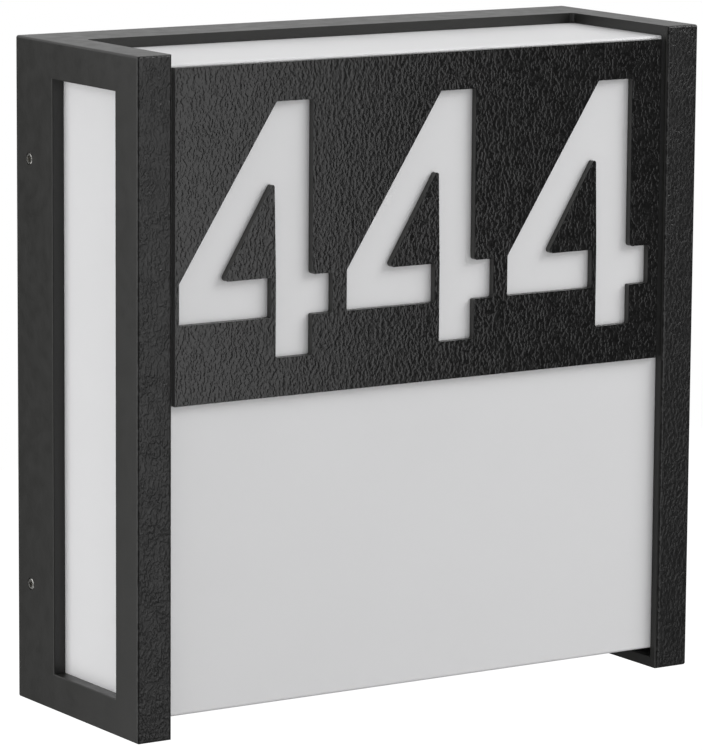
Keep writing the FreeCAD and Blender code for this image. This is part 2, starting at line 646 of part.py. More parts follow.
def make_clips():
    """Four angles, screwed to the band's top and bottom, that press the diffuser forward."""
    clips = new_body("diffuser_clips")
    back = f"clip_leg - {RIM_BACK}"
    for number, place in enumerate(CLIP_PLACES):
        profile = side_sketch(clips, f"angle_{number}", f"{place} - clip_width / 2")
        for up, nose in ((1, "clip_nose"), (-1, "(clip_nose + diffuser_raise)")):
            polygon(profile, [
                (back, f"{up} * {INSIDE_Z}"),
                (f"-{RIM_BACK}", f"{up} * {INSIDE_Z}"),
                (f"-{RIM_BACK}", f"{up} * ({INSIDE_Z} - {nose})"),
                (f"clip_thick - {RIM_BACK}", f"{up} * ({INSIDE_Z} - {nose})"),
                (f"clip_thick - {RIM_BACK}", f"{up} * ({INSIDE_Z} - clip_thick)"),
                (back, f"{up} * ({INSIDE_Z} - clip_thick)"),
            ])
        pad(clips, profile, "clip_width")
    holes = level_sketch(clips, "screw_holes", INSIDE_Z)
    for across in CLIP_PLACES:
        circle(holes, across, f"-{CLIP_SCREW_OUT}", "clip_screw_radius + thread_gap")
    pocket(clips, holes, f"{INSIDE_Z} * 2")

    screws = new_body("clip_screws")
    places = [(across, f"-{CLIP_SCREW_OUT}") for across in CLIP_PLACES]
    for name, seat, up in (("upper", f"{INSIDE_Z} - clip_thick", -1),
                           ("lower", f"clip_thick - {INSIDE_Z}", 1)):
        add_screws(screws, name, level_sketch, seat, places, up,
                   ("clip_head_radius", "clip_head_height"),
                   ("clip_screw_radius", "clip_thick + clip_screw_grip"), True)
    return [clips, screws]


def make_set_screws():
    """Headless screws with a hexagon socket, two in each side of the band."""
    bodies = []
    for side, sign in (("left", -1), ("right", 1)):
        for level, height in zip(("lower", "upper"), SET_SCREW_HEIGHTS):
            body = new_body(f"set_screw_{side}_{level}")
            tip = f"{sign} * ({WALL_PLATE_X} + set_screw_touch)"
            shank = side_sketch(body, "shank", tip)
            circle(shank, "-set_screw_out", height, "set_screw_radius")
            pad(body, shank, "set_screw_length", backward=sign < 0)
            soften(body, "Chamfer", "ends", "set_screw_chamfer",
                   lambda edge: edge.Curve.TypeId == "Part::GeomCircle")
            socket = side_sketch(body, "socket", f"{tip} + {sign} * set_screw_length")
            hexagon(socket, "-set_screw_out", height, "socket_flats")
            pocket(body, socket, "socket_depth", backward=sign < 0)
            bodies.append(body)
    return bodies


# ---- the wall side ----


def make_wall_plate():
    """Bent sheet: a flat base with screw slots, and two sides that the set screws clamp on."""
    body = new_body("wall_plate")
    base = front_sketch(body, "base", "wall_gasket_thick")
    rectangle(base, f"-{WALL_PLATE_X}", WALL_PLATE_X, f"-{WALL_PLATE_Z}", WALL_PLATE_Z)
    pad(body, base, "wall_sheet")
    sides = front_sketch(body, "sides", "wall_gasket_thick")
    rectangle(sides, f"-{WALL_PLATE_X}", f"upstand_thick - {WALL_PLATE_X}",
              f"-{WALL_PLATE_Z}", WALL_PLATE_Z)
    rectangle(sides, f"{WALL_PLATE_X} - upstand_thick", WALL_PLATE_X,
              f"-{WALL_PLATE_Z}", WALL_PLATE_Z)
    pad(body, sides, "upstand_depth")
    bend_x = value(f"{WALL_PLATE_X} - upstand_thick")
    floor = -value(FLOOR)
    soften(body, "Fillet", "bends", "bend_round",
           lambda edge: any(lies_at(edge, x=place, y=floor) for place in (bend_x, -bend_x)))

    slots = front_sketch(body, "fixing_slots", FLOOR)
    for across, height in FIXING_PLACES:
        rectangle(slots, f"{across} - fixing_slot_length / 2", f"{across} + fixing_slot_length / 2",
                  f"{height} - fixing_slot_width / 2", f"{height} + fixing_slot_width / 2")
    pocket(body, slots, "wall_sheet")
    slot_half = value("fixing_slot_length / 2")
    slot_x = value(f"{WALL_PLATE_X} - fixing_inset_x")
    soften(body, "Fillet", "slot_ends", "fixing_slot_width / 2 - slot_margin",
           lambda edge: runs_along(edge, "y")
           and abs(abs(abs(edge.CenterOfMass.x) - slot_x) - slot_half) < 0.01)

    holes = front_sketch(body, "round_holes", FLOOR)
    circle(holes, "0", "cable_height", "cable_hole_radius")
    circle(holes, "0", "-earth_drop", "screw_radius + thread_gap")
    for across, height in BRACKET_SCREW_PLACES:
        circle(holes, across, height, "screw_radius + thread_gap")
    for across, height in BLOCK_SCREW_PLACES:
        circle(holes, across, height, "block_screw_radius + thread_gap")
    pocket(body, holes, "wall_sheet")
    return body


def make_wall_gasket():
    body = new_body("wall_gasket")
    ring = front_sketch(body, "ring")
    for inset in ("wall_gasket_inset", "(wall_gasket_inset + wall_gasket_width)"):
        rectangle(ring, f"{inset} - {WALL_PLATE_X}", f"{WALL_PLATE_X} - {inset}",
                  f"{inset} - {WALL_PLATE_Z}", f"{WALL_PLATE_Z} - {inset}")
    pad(body, ring, "wall_gasket_thick")
    return body


def make_grommet():
    """Rubber bush in the cable entry, turned about the hole's axis."""
    body = new_body("cable_grommet")
    profile = side_sketch(body, "half_profile")
    neck = "cable_hole_radius - soft_gap"
    rear = "wall_gasket_thick"
    front = f"({FLOOR} + grommet_front)"
    polygon(profile, [
        (f"grommet_rear - {rear}", "grommet_bore"),
        (f"grommet_rear - {rear}", "grommet_flange"),
        (f"-{rear}", "grommet_flange"),
        (f"-{rear}", neck),
        (f"-{FLOOR}", neck),
        (f"-{FLOOR}", "grommet_flange"),
        (f"-{front}", "grommet_flange"),
        (f"-{front} - grommet_cone", "grommet_nose"),
        (f"-{front} - grommet_cone", "grommet_bore"),
    ])
    revolve(body, profile, "H_Axis")
    move_to(body, height="cable_height")
    return body


def make_bracket():
    """Steel angle with a shelf for the two lampholders."""
    body = new_body("lampholder_bracket")
    profile = side_sketch(body, "profile", "-bracket_width / 2")
    polygon(profile, [
        (f"-{FLOOR}", f"-{SHELF_UNDER} - bracket_leg"),
        (f"-{FLOOR}", "-shelf_drop"),
        (f"-{FLOOR} - bracket_reach", "-shelf_drop"),
        (f"-{FLOOR} - bracket_reach", f"-{SHELF_UNDER}"),
        (f"-{FLOOR} - bracket_sheet", f"-{SHELF_UNDER}"),
        (f"-{FLOOR} - bracket_sheet", f"-{SHELF_UNDER} - bracket_leg"),
    ])
    pad(body, profile, "bracket_width")
    back = -value(FLOOR)
    inner = -value(f"{FLOOR} + bracket_sheet")
    front = -value(f"{FLOOR} + bracket_reach")
    top = -value("shelf_drop")
    soften(body, "Fillet", "outer_bend", "bracket_bend + bracket_sheet",
           lambda edge: lies_at(edge, y=back, z=top))
    soften(body, "Fillet", "inner_bend", "bracket_bend",
           lambda edge: lies_at(edge, y=inner, z=-value(SHELF_UNDER)))
    soften(body, "Fillet", "shelf_corners", "bracket_round",
           lambda edge: runs_along(edge, "z") and lies_at(edge, y=front))

    holes = level_sketch(body, "shelf_holes", "-shelf_drop")
    for side in (-1, 1):
        circle(holes, f"{side} * {LAMP_X}", "-lamp_out", "nipple_radius + thread_gap")
    window_back = f"(-{FLOOR} - lead_window_start)"
    rectangle(holes, "-lead_window_width / 2", "lead_window_width / 2",
              f"{window_back} - lead_window_depth", window_back)
    pocket(body, holes, "bracket_sheet")
    half = value("lead_window_width / 2")
    soften(body, "Fillet", "window_corners", "lead_window_round",
           lambda edge: runs_along(edge, "z") and any(lies_at(edge, x=place) for place in (half, -half)))

    screws = front_sketch(body, "screw_holes", f"{FLOOR} + bracket_sheet")
    for across, height in BRACKET_SCREW_PLACES:
        circle(screws, across, height, "screw_radius + thread_gap")
    pocket(body, screws, "bracket_sheet")
    return body


def make_screws():
    """The cross-recess screws of the bracket, the earth point and the terminal block."""
    bracket = new_body("bracket_screws")
    add_screws(bracket, "bracket", front_sketch, f"{FLOOR} + bracket_sheet", BRACKET_SCREW_PLACES, 1,
               ("screw_head_radius", "screw_head_height"),
               ("screw_radius", "bracket_sheet + wall_sheet + screw_tail"), True)
    earth = new_body("earth_screw")
    seat = f"{FLOOR} + lug_sheet + earth_washer_thick"
    add_screws(earth, "earth", front_sketch, seat, [("0", "-earth_drop")], 1,
               ("screw_head_radius", "screw_head_height"),
               ("screw_radius", "earth_washer_thick + lug_sheet + wall_sheet + screw_tail"), True)
    block = new_body("terminal_fixing_screws")
    floor = f"{FLOOR} + block_depth - block_groove_depth"
    add_screws(block, "block", front_sketch, floor, BLOCK_SCREW_PLACES, 1,
               ("block_head_radius", "block_head_height"),
               ("block_screw_radius", "block_depth - block_groove_depth + wall_sheet + screw_tail"), True)
    return [bracket, earth, block]


def make_earth_parts():
    """Toothed washer, and a ring lug with a barrel for the earth lead."""
    washer = new_body("earth_washer")
    ring = front_sketch(washer, "ring", f"{FLOOR} + lug_sheet")
    circle(ring, "0", "-earth_drop", "earth_washer_radius")
    circle(ring, "0", "-earth_drop", "screw_radius + thread_gap")
    pad(washer, ring, "earth_washer_thick")

    lug = new_body("earth_lug")
    eye = front_sketch(lug, "eye", FLOOR)
    circle(eye, "0", "-earth_drop", "lug_radius")
    pad(lug, eye, "lug_sheet")
    strip = front_sketch(lug, "strip", FLOOR)
    rectangle(strip, "-lug_neck / 2", "lug_neck / 2", "-earth_drop", "barrel_start + 1 - earth_drop")
    pad(lug, strip, "lug_sheet")
    barrel = level_sketch(lug, "barrel", "barrel_start - earth_drop")
    circle(barrel, "0", f"-{BARREL_OUT}", "barrel_radius")
    pad(lug, barrel, "barrel_length")
    bore = level_sketch(lug, "bore", "barrel_start + barrel_length - earth_drop")
    circle(bore, "0", f"-{BARREL_OUT}", "lead_radius + thread_gap")
    pocket(lug, bore, "barrel_length")
    hole = front_sketch(lug, "hole", f"{FLOOR} + lug_sheet")
    circle(hole, "0", "-earth_drop", "screw_radius + thread_gap")
    pocket(lug, hole, "lug_sheet")
    return [washer, lug]


def make_terminal_block():
    """Three-pole block with brass clamps and their screws."""
    block = new_body("terminal_block")
    outline = front_sketch(block, "outline", FLOOR)
    low = BLOCK_FOOT
    high = f"({BLOCK_FOOT} + block_height)"
    rectangle(outline, "-block_width / 2", "block_width / 2", low, high)
    pad(block, outline, "block_depth")
    front = f"{FLOOR} + block_depth"
    grooves = front_sketch(block, "grooves", front)
    for across, height in BLOCK_SCREW_PLACES:
        rectangle(grooves, f"{across} - block_groove / 2", f"{across} + block_groove / 2", low, high)
    pocket(block, grooves, "block_groove_depth")
    wells = front_sketch(block, "wells", front)
    for across, height in CLAMP_SCREW_PLACES:
        circle(wells, across, height, "clamp_screw_radius + thread_gap")
    pocket(block, wells, "block_depth - clamp_out")
    seats = front_sketch(block, "head_seats", front)
    for across, height in BLOCK_SCREW_PLACES:
        circle(seats, across, height, "block_head_radius + thread_gap")
    pocket(block, seats, "block_groove_depth")
    fixing = front_sketch(block, "fixing_holes", front)
    for across, height in BLOCK_SCREW_PLACES:
        circle(fixing, across, height, "block_screw_radius + thread_gap")
    pocket(block, fixing, "block_depth")
    bores = level_sketch(block, "lead_bores", high)
    for pole in POLES:
        circle(bores, pole, f"-{CLAMP_AXIS_OUT}", "clamp_radius + thread_gap")
    pocket(block, bores, "block_height")

    clamps = new_body("terminal_clamps")
    rings = level_sketch(clamps, "rings", "-block_drop - clamp_length / 2")
    for pole in POLES:
        circle(rings, pole, f"-{CLAMP_AXIS_OUT}", "clamp_radius")
        circle(rings, pole, f"-{CLAMP_AXIS_OUT}", "clamp_bore")
    pad(clamps, rings, "clamp_length")

    screws = new_body("terminal_screws")
    shanks = front_sketch(screws, "shanks", f"{CLAMP_AXIS_OUT} + clamp_radius + thread_gap")
    for across, height in CLAMP_SCREW_PLACES:
        circle(shanks, across, height, "clamp_screw_radius")
    pad(screws, shanks, "clamp_screw_length")
    slots = front_sketch(screws, "slots",
                         f"{CLAMP_AXIS_OUT} + clamp_radius + thread_gap + clamp_screw_length")
    for across, height in CLAMP_SCREW_PLACES:
        rectangle(slots, f"{across} - clamp_screw_radius", f"{across} + clamp_screw_radius",
                  f"{height} - slot_screw_width / 2", f"{height} + slot_screw_width / 2")
    pocket(screws, slots, "slot_screw_depth")
    return [block, clamps, screws]


# ---- lampholders and lamps ----

def make_nipples():
    """Threaded tubes through the shelf, with their nuts."""
    nipples = new_body("mounting_nipples")
    tubes = level_sketch(nipples, "tubes", f"-{SHELF_UNDER} - nipple_down")
    nuts = new_body("nipple_nuts")
    hexagons = level_sketch(nuts, "hexagons", f"-{SHELF_UNDER}")
    for side in (-1, 1):
        across = f"{side} * {LAMP_X}"
        circle(tubes, across, "-lamp_out", "nipple_radius")
        circle(tubes, across, "-lamp_out", "nipple_bore")
        hexagon(hexagons, across, "-lamp_out", "nipple_nut_flats")
        circle(hexagons, across, "-lamp_out", "nipple_radius + thread_gap")
    pad(nipples, tubes, "nipple_down + bracket_sheet + nipple_up")
    pad(nuts, hexagons, "nipple_nut_height", backward=True)
    return [nipples, nuts]


def make_lampholder(side, sign):
    """Skirted lampholder that stands on the shelf, with insert, shell and centre contact."""
    wall_inside = "holder_radius - holder_wall"
    chamber = "holder_foot_radius - holder_wall + 2"
    body = turned(f"lampholder_body_{side}", [
        ("nipple_radius + thread_gap", "0"),
        ("holder_foot_radius", "0"),
        ("holder_foot_radius", "holder_foot_height"),
        ("holder_radius", "holder_cone_height"),
        ("holder_radius", "holder_height"),
        (wall_inside, "holder_height"),
        (wall_inside, "insert_seat"),
        (chamber, "insert_seat"),
        (f"{chamber}", "holder_floor + holder_foot_height"),
        ("holder_foot_radius - holder_wall", "holder_floor"),
        ("nipple_radius + thread_gap", "holder_floor"),
    ])
    collar_top = "insert_seat + insert_disc + insert_collar"
    insert = turned(f"lampholder_insert_{side}", [
        ("0", "insert_seat"),
        (INSERT_RADIUS, "insert_seat"),
        (INSERT_RADIUS, collar_top),
        (f"{SHELL_OUTSIDE} + insert_play", collar_top),
        (f"{SHELL_OUTSIDE} + insert_play", "insert_seat + insert_disc"),
        ("0", "insert_seat + insert_disc"),
    ])
    shell = turned(f"lampholder_shell_{side}", [
        (SHELL_INSIDE, "insert_seat + insert_disc"),
        (SHELL_OUTSIDE, "insert_seat + insert_disc"),
        (SHELL_OUTSIDE, collar_top),
        (SHELL_INSIDE, collar_top),
    ])
    contact = turned(f"lampholder_contact_{side}", [
        ("0", "insert_seat + insert_disc"),
        ("contact_radius", "insert_seat + insert_disc"),
        ("contact_radius", "insert_seat + insert_disc + contact_height / 4"),
        ("contact_radius / 2", "insert_seat + insert_disc + contact_height"),
        ("0", "insert_seat + insert_disc + contact_height"),
    ])
    pieces = [body, insert, shell, contact]
    for piece in pieces:
        move_to(piece, f"{sign} * {LAMP_X}", "lamp_out", "-shelf_drop")
    return pieces


def make_lamp(side, sign):
    """Lamp with a screw cap: insulator, cap, neck and globe, all turned."""
    turns = 4
    cap_root = "cap_radius - cap_thread"
    cap_top = f"(insulator_height + {turns} * cap_pitch + cap_rim)"
    neck_top = f"({cap_top} + neck_height)"
    insulator = turned(f"lamp_insulator_{side}", [
        ("0", "0"),
        ("tip_radius", "0"),
        ("tip_radius", "insulator_height / 4"),
        ("insulator_radius", "insulator_height"),
        ("0", "insulator_height"),
    ])
    thread = []
    for turn in range(turns):
        start = f"insulator_height + {turn} * cap_pitch"
        thread.append((cap_root, start))
        thread.append(("cap_radius", f"{start} + cap_pitch / 3"))
        thread.append(("cap_radius", f"{start} + cap_pitch * 2 / 3"))
    thread.append((cap_root, f"insulator_height + {turns} * cap_pitch"))
    thread.append(("cap_radius", cap_top))
    cap = turned(f"lamp_cap_{side}", [("0", "insulator_height")] + thread + [("0", cap_top)])
    neck = turned(f"lamp_neck_{side}", [
        ("0", cap_top),
        ("neck_foot_radius", cap_top),
        ("neck_foot_radius", f"{cap_top} + neck_height / 5"),
        ("globe_radius", f"{cap_top} + neck_height * 4 / 5"),
        ("globe_radius", neck_top),
        ("0", neck_top),
    ])
    foot = value("neck_foot_radius")
    waist = value(f"{cap_top} + neck_height / 5")
    wide = value("globe_radius")
    shoulder = value(f"{cap_top} + neck_height * 4 / 5")
    soften(neck, "Fillet", "hollow_curve", "neck_round",
           lambda edge: edge.Curve.TypeId == "Part::GeomCircle"
           and any(abs(edge.Curve.Radius - radius) < 0.01 and lies_at(edge, z=height)
                   for radius, height in ((foot, waist), (wide, shoulder))))
    globe = make_globe(side, neck_top)
    pieces = [insulator, cap, neck, globe]
    for piece in pieces:
        move_to(piece, f"{sign} * {LAMP_X}", "lamp_out", LAMP_FOOT)
    return pieces


def make_globe(side, foot):
    """Straight collar that ends in half a ball."""
    globe = new_body(f"lamp_globe_{side}")
    profile = front_sketch(globe, "half_profile")
    shoulder = f"({foot} + globe_straight)"
    corners = [("0", foot), ("globe_radius", foot), ("globe_radius", shoulder),
               ("0", f"{shoulder} + globe_radius")]
    places = [Vector(value(across), value(up), 0) for across, up in corners]
    middle = Vector(0, places[2].y, 0)
    profile.addGeometry(Part.LineSegment(places[0], places[1]))
    profile.addGeometry(Part.LineSegment(places[1], places[2]))
    ball = Part.Circle(middle, Vector(0, 0, 1), value("globe_radius"))
    profile.addGeometry(Part.ArcOfCircle(ball, 0, math.pi / 2))
    profile.addGeometry(Part.LineSegment(places[3], places[0]))
    for start, end in ((0, 1), (1, 2), (2, 3), (3, 0)):
        profile.addConstraint(Sketcher.Constraint("Coincident", start, 2, end, 1))
    for item, corner in zip((0, 1, 2, 3), corners):
        pin_point(profile, item, 1, corner)
    radius = profile.addConstraint(Sketcher.Constraint("Radius", 2, value("globe_radius")))
    bind(profile, f"Constraints[{radius}]", "globe_radius")
    revolve(globe, profile, "V_Axis")
    return globe


# ---- internal leads ----

def bend_radius(before, corner, after):
    """The largest arc that leaves a tenth of the shorter run straight at a corner of a route."""
    shorter = min((corner - before).Length, (after - corner).Length)
    turn = (corner - before).getAngle(after - corner)
    return 0.45 * shorter / math.tan(turn / 2)


def make_lead(label, route):
    """Round lead along straight runs that are joined by tangent arcs."""
    radius = value("lead_radius")
    edges = []
    reached = route[0]
    radii = []
    for before, corner, after in zip(route, route[1:], route[2:]):
        bend = bend_radius(before, corner, after)
        radii.append(round(bend, 1))
        arriving = (corner - before).normalize()
        leaving = (after - corner).normalize()
        turn = arriving.getAngle(leaving)
        cut = bend * math.tan(turn / 2)
        start = corner - arriving * cut
        end = corner + leaving * cut
        towards_middle = (leaving - arriving).normalize()
        middle = corner + towards_middle * (bend / math.cos(turn / 2) - bend)
        edges.append(Part.LineSegment(reached, start).toShape())
        edges.append(Part.Arc(start, middle, end).toShape())
        reached = end
    edges.append(Part.LineSegment(reached, route[-1]).toShape())
    path = Part.Wire(edges)
    ring = Part.Wire(Part.Circle(route[0], route[1] - route[0], radius).toShape())
    lead = doc.addObject("Part::Feature", label)
    lead.Label = label
    lead.Shape = path.makePipeShell([ring], True, False)
    lead.Placement = Placement()
    share = lead.Shape.Volume / (math.pi * radius ** 2 * path.Length)
    print(f"{label}: length {path.Length:.1f}, bend radii {radii}, volume {share:.4f} of section x length")
    if abs(share - 1) > 0.01:
        raise RuntimeError(f"{label}: the lead's volume is wrong")
    return lead


def make_leads():
    """Two leads to each lampholder through the shelf's window, and one to the earth lug."""
    out = value(CLAMP_AXIS_OUT)
    foot = value(BLOCK_FOOT)
    shelf = -value("shelf_drop")
    lamp_x = value(LAMP_X)
    lamp_out = value("lamp_out")
    pole = value("pole_spacing")
    pair = value("lead_pair_block")
    end_pair = value("lead_pair_lamp")
    inside = foot + value("lead_grip")
    end = shelf + value("insert_seat")

    swing = value("lead_swing")
    rise = value("lead_rise")
    slope = value("lead_slope")

    def route(start, through_shelf, side, reach, hang, short, end_x):
        """From a clamp through the shelf's window, in a slack bow under the lamp, up into its nipple."""
        points = [Vector(start, -out, inside), Vector(start, -out, foot - value("lead_fall"))]
        points += [Vector(across, -behind, shelf - below) for across, behind, below in through_shelf]
        points += [
            Vector(side * (lamp_x - reach), swing - lamp_out, shelf - hang + slope),
            Vector(side * (lamp_x - short), swing / 4 - lamp_out, shelf - hang),
            Vector(side * (lamp_x + 7 - short), -lamp_out, shelf - hang + rise),
            Vector(end_x, -lamp_out, shelf - 2),
            Vector(end_x, -lamp_out, end),
        ]
        return points

    outer = (value("lead_reach"), value("lead_hang"), 5)
    crossing = (value("crossing_reach"), value("crossing_hang"), 8)
    leads = [
        make_lead("live_lead_left", route(
            -pole - pair, [(-12, 13.5, -4), (-20, 19, 18)], -1, *outer, -lamp_x - end_pair)),
        make_lead("neutral_lead_left", route(
            pole - pair, [(7, 17.5, -4), (-4, 22, 16)], -1, *crossing, -lamp_x + end_pair)),
        make_lead("live_lead_right", route(
            -pole + pair, [(-6, 11, -4), (4, 13, 16)], 1, *crossing, lamp_x - end_pair)),
        make_lead("neutral_lead_right", route(
            pole + pair, [(12, 13.5, -4), (20, 19, 18)], 1, *outer, lamp_x + end_pair)),
    ]
    barrel_out = value(BARREL_OUT)
    barrel_top = value("barrel_start + barrel_length - earth_drop")
    leads.append(make_lead("earth_lead", [
        Vector(0, -out, inside),
        Vector(0, -out, foot - value("earth_fall")),
        Vector(0, -barrel_out, barrel_top + value("earth_entry")),
        Vector(0, -barrel_out, barrel_top - value("lead_grip")),
    ]))
    return leads


pieces = [
    make_frame(), make_diffuser(), make_rim_gasket(), make_number_plate(),
    *make_plate_fixings(), *make_clips(), *make_set_screws(),
    make_wall_plate(), make_wall_gasket(), make_grommet(), make_bracket(),
    *make_screws(), *make_earth_parts(), *make_terminal_block(), *make_nipples(),
]
for side, sign in (("left", -1), ("right", 1)):
    pieces += make_lampholder(side, sign)
    pieces += make_lamp(side, sign)
pieces += make_leads()

doc.recompute()
for item in doc.Objects:
    if "Invalid" in item.State or "Error" in item.State:
        raise RuntimeError(f"{item.Label} could not be built: {item.State}")
for piece in pieces:
    if piece.Shape.isNull() or not piece.Shape.isValid():
        raise RuntimeError(f"{piece.Label} has no valid shape")

os.makedirs("parts", exist_ok=True)
for piece in pieces:
    piece.Shape.exportStep(f"parts/{piece.Label}.step")
    print(piece.Label, len(piece.Shape.Solids), round(piece.Shape.Volume / 1000, 3), "cm3")
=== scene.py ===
"""Looks of the illuminated house number sign, laid out as a Blender add-on."""

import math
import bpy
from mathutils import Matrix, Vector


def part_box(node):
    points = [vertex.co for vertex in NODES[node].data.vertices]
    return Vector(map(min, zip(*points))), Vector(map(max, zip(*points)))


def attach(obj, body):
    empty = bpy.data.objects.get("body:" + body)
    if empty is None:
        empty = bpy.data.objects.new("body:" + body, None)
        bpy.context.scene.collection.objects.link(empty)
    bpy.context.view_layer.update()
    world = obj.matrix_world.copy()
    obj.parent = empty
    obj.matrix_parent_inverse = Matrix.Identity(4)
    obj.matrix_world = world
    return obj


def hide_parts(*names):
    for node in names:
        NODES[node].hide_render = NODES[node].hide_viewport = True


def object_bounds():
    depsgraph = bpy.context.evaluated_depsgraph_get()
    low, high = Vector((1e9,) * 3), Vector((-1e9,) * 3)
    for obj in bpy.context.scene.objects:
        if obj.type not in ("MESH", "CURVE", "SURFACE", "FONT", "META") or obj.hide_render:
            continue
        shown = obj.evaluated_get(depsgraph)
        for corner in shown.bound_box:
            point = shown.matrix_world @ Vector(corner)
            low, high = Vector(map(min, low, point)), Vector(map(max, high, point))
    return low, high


bl_info = {
    "name": "Illuminated House Number Sign",
    "version": (1, 0, 0),
    "blender": (4, 5, 0),
    "location": "3D View > Sidebar > House Sign",
    "description": "Finishes, lamp caps and studio for an illuminated house number sign",
    "category": "Object",
}

import bmesh
import bpy
import numpy as np
from bpy.props import FloatProperty, FloatVectorProperty, IntProperty, PointerProperty
from mathutils import Quaternion, Vector

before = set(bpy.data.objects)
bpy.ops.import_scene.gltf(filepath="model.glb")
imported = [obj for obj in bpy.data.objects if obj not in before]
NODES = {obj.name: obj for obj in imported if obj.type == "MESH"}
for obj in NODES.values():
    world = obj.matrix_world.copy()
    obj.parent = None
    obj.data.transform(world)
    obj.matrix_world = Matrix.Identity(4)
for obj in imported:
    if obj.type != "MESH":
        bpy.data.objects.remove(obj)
CAD_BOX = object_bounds()
SIDES = ("left", "right")
LEVELS = ("lower", "upper")
WHITE = (1.0, 1.0, 1.0, 1.0)

# Name, place, the point it faces, width and height in metres, and power in watts.
SOFTBOXES = (
    ("key_softbox", (1.2, -0.95, 0.95), (0, -0.05, 0), (1.0, 1.0), 16.1),
    ("front_softbox", (0.25, -1.1, -0.1), (0.25, 0, -0.1), (0.7, 0.7), 2.4),
    ("overhead_softbox", (0, 0.35, 1.6), (0, -0.05, 0), (1.4, 1.4), 7.6),
    ("left_softbox", (-1.0, -0.25, 0.15), (-0.14, -0.05, 0), (0.5, 0.5), 0.8),
    ("edge_reflector", (-0.4, 0.08, -0.05), (0, 0.08, -0.05), (0.36, 0.9), 1.25),
)


def linear(code):
    """The linear colour of an sRGB hex code: a channel c becomes ((c + 0.055) / 1.055) ** 2.4."""
    channels = np.array([int(code[start:start + 2], 16) for start in (1, 3, 5)]) / 255
    curved = np.where(channels <= 0.04045, channels / 12.92, ((channels + 0.055) / 1.055) ** 2.4)
    return (*curved.tolist(), 1.0)


def per_metre(size_mm):
    """The scale at which a pattern in metres repeats about once in size_mm."""
    return 1000 / size_mm


# ---- settings ----

def colour_setting(name, description, code):
    return FloatVectorProperty(name=name, description=description, subtype="COLOR", size=4,
                               min=0, max=1, default=linear(code))


def length_setting(name, description, default, low, high):
    return FloatProperty(name=name, description=description, subtype="DISTANCE", unit="LENGTH",
                         min=low, max=high, default=default)


def level_setting(name, description, default):
    return FloatProperty(name=name, description=description, subtype="FACTOR",
                         min=0, max=1, default=default)


class CoatSettings(bpy.types.PropertyGroup):
    """Dark coat of the casting and the number plate."""
    smooth: colour_setting("Smooth coat", "Colour of the fine coat on the casting", "#1f1f1d")
    glossy: colour_setting("Glossy coat", "Colour of the coat with the worm texture", "#131313")
    # The plate's cut walls wear the same coat as the casting's sides; this paler colour is painted
    # light.
    cut: colour_setting("Cut walls", "Colour of the coat on the plate's cut walls", "#3b3b39")
    worm: length_setting("Worm width", "Width of the ridges in the glossy coat",
                         0.0014, 0.0005, 0.01)
    # The rim also sets the width of the painted shade line round the plate's figures.
    rim: length_setting("Rim", "Width of the thin coat along cut edges", 0.0006, 0.0001, 0.005)
    lip_depth: length_setting("Lip depth", "How far the glossy coat reaches back on the casting",
                              0.0006, 0, 0.01)
    lip_relief: length_setting("Lip relief", "Height of the ridges on the casting",
                               0.00017, 0, 0.001)
    lip_gloss: level_setting("Lip roughness", "Roughness of the glossy coat on the casting", 0.3)
    plate_depth: length_setting("Plate depth", "How far the glossy coat reaches back on the plate",
                                0.0004, 0, 0.003)
    plate_relief: length_setting("Plate relief", "Height of the ridges on the number plate",
                                 0.000085, 0, 0.001)
    plate_gloss: level_setting("Plate roughness", "Roughness of the glossy coat on the plate", 0.1)


class OpalSettings(bpy.types.PropertyGroup):
    """Opal acrylic of the diffuser and the lamp globes."""
    sheet: colour_setting("Opal sheet", "Colour of the diffuser", "#e6e6e7")
    globe: colour_setting("Opal globe", "Colour of the lamp globes", "#f1f0ec")


class ThreadSettings(bpy.types.PropertyGroup):
    """Screw thread of the lamp caps."""
    pitch: length_setting("Pitch", "Rise of the thread in one turn", 0.00362, 0.001, 0.01)
    depth: length_setting("Depth", "Depth of the thread", 0.0007, 0.0001, 0.003)
    turns: IntProperty(name="Turns", description="Number of turns of the thread",
                       default=4, min=1, max=12)


class StudioSettings(bpy.types.PropertyGroup):
    """Camera and light."""
    place: FloatVectorProperty(name="Camera place", description="Where the camera stands",
                               size=3, subtype="XYZ", unit="LENGTH",
                               default=(-1.09974, -1.736445, 0.336687))
    turn: FloatVectorProperty(name="Camera turn", description="Rotation as a quaternion",
                              size=4, subtype="QUATERNION",
                              default=(0.733628, 0.617612, -0.185419, -0.214393))
    lens: FloatProperty(name="Lens", description="Focal length", default=228.264,
                        min=20, max=600, subtype="DISTANCE_CAMERA", unit="CAMERA")
    floor_drop: length_setting("Floor drop", "Distance from the sign's foot down to the floor",
                               0.6, 0, 3)
    floor_white: level_setting("Floor white", "Level of the floor as the camera sees it", 0.96)
    floor_mirrored: level_setting("Floor mirrored", "Level of the floor in reflections", 0.03)
    fill: level_setting("Fill", "Level of the sky on matt surfaces", 0.385)
    backdrop: level_setting("Backdrop", "Level of the backdrop in reflections", 0.77)
    room_front: level_setting("Room in front", "Level of the room before the sign", 0.12)
    room_side: level_setting("Room beside", "Level of the room beside the sign", 0.02)


class SignSettings(bpy.types.PropertyGroup):
    """All settings of the sign."""
    coat: PointerProperty(name="Coat", description="Dark coat", type=CoatSettings)
    opal: PointerProperty(name="Opal", description="Opal acrylic", type=OpalSettings)
    thread: PointerProperty(name="Thread", description="Lamp cap thread", type=ThreadSettings)
    studio: PointerProperty(name="Studio", description="Camera and light", type=StudioSettings)


# ---- material helpers ----

def fill_inputs(tree, node, inputs):
    """Gives sockets of a node their constants, or links them to an output."""
    for name, source in inputs.items():
        if isinstance(source, bpy.types.NodeSocket):
            tree.links.new(source, node.inputs[name])
        else:
            node.inputs[name].default_value = source


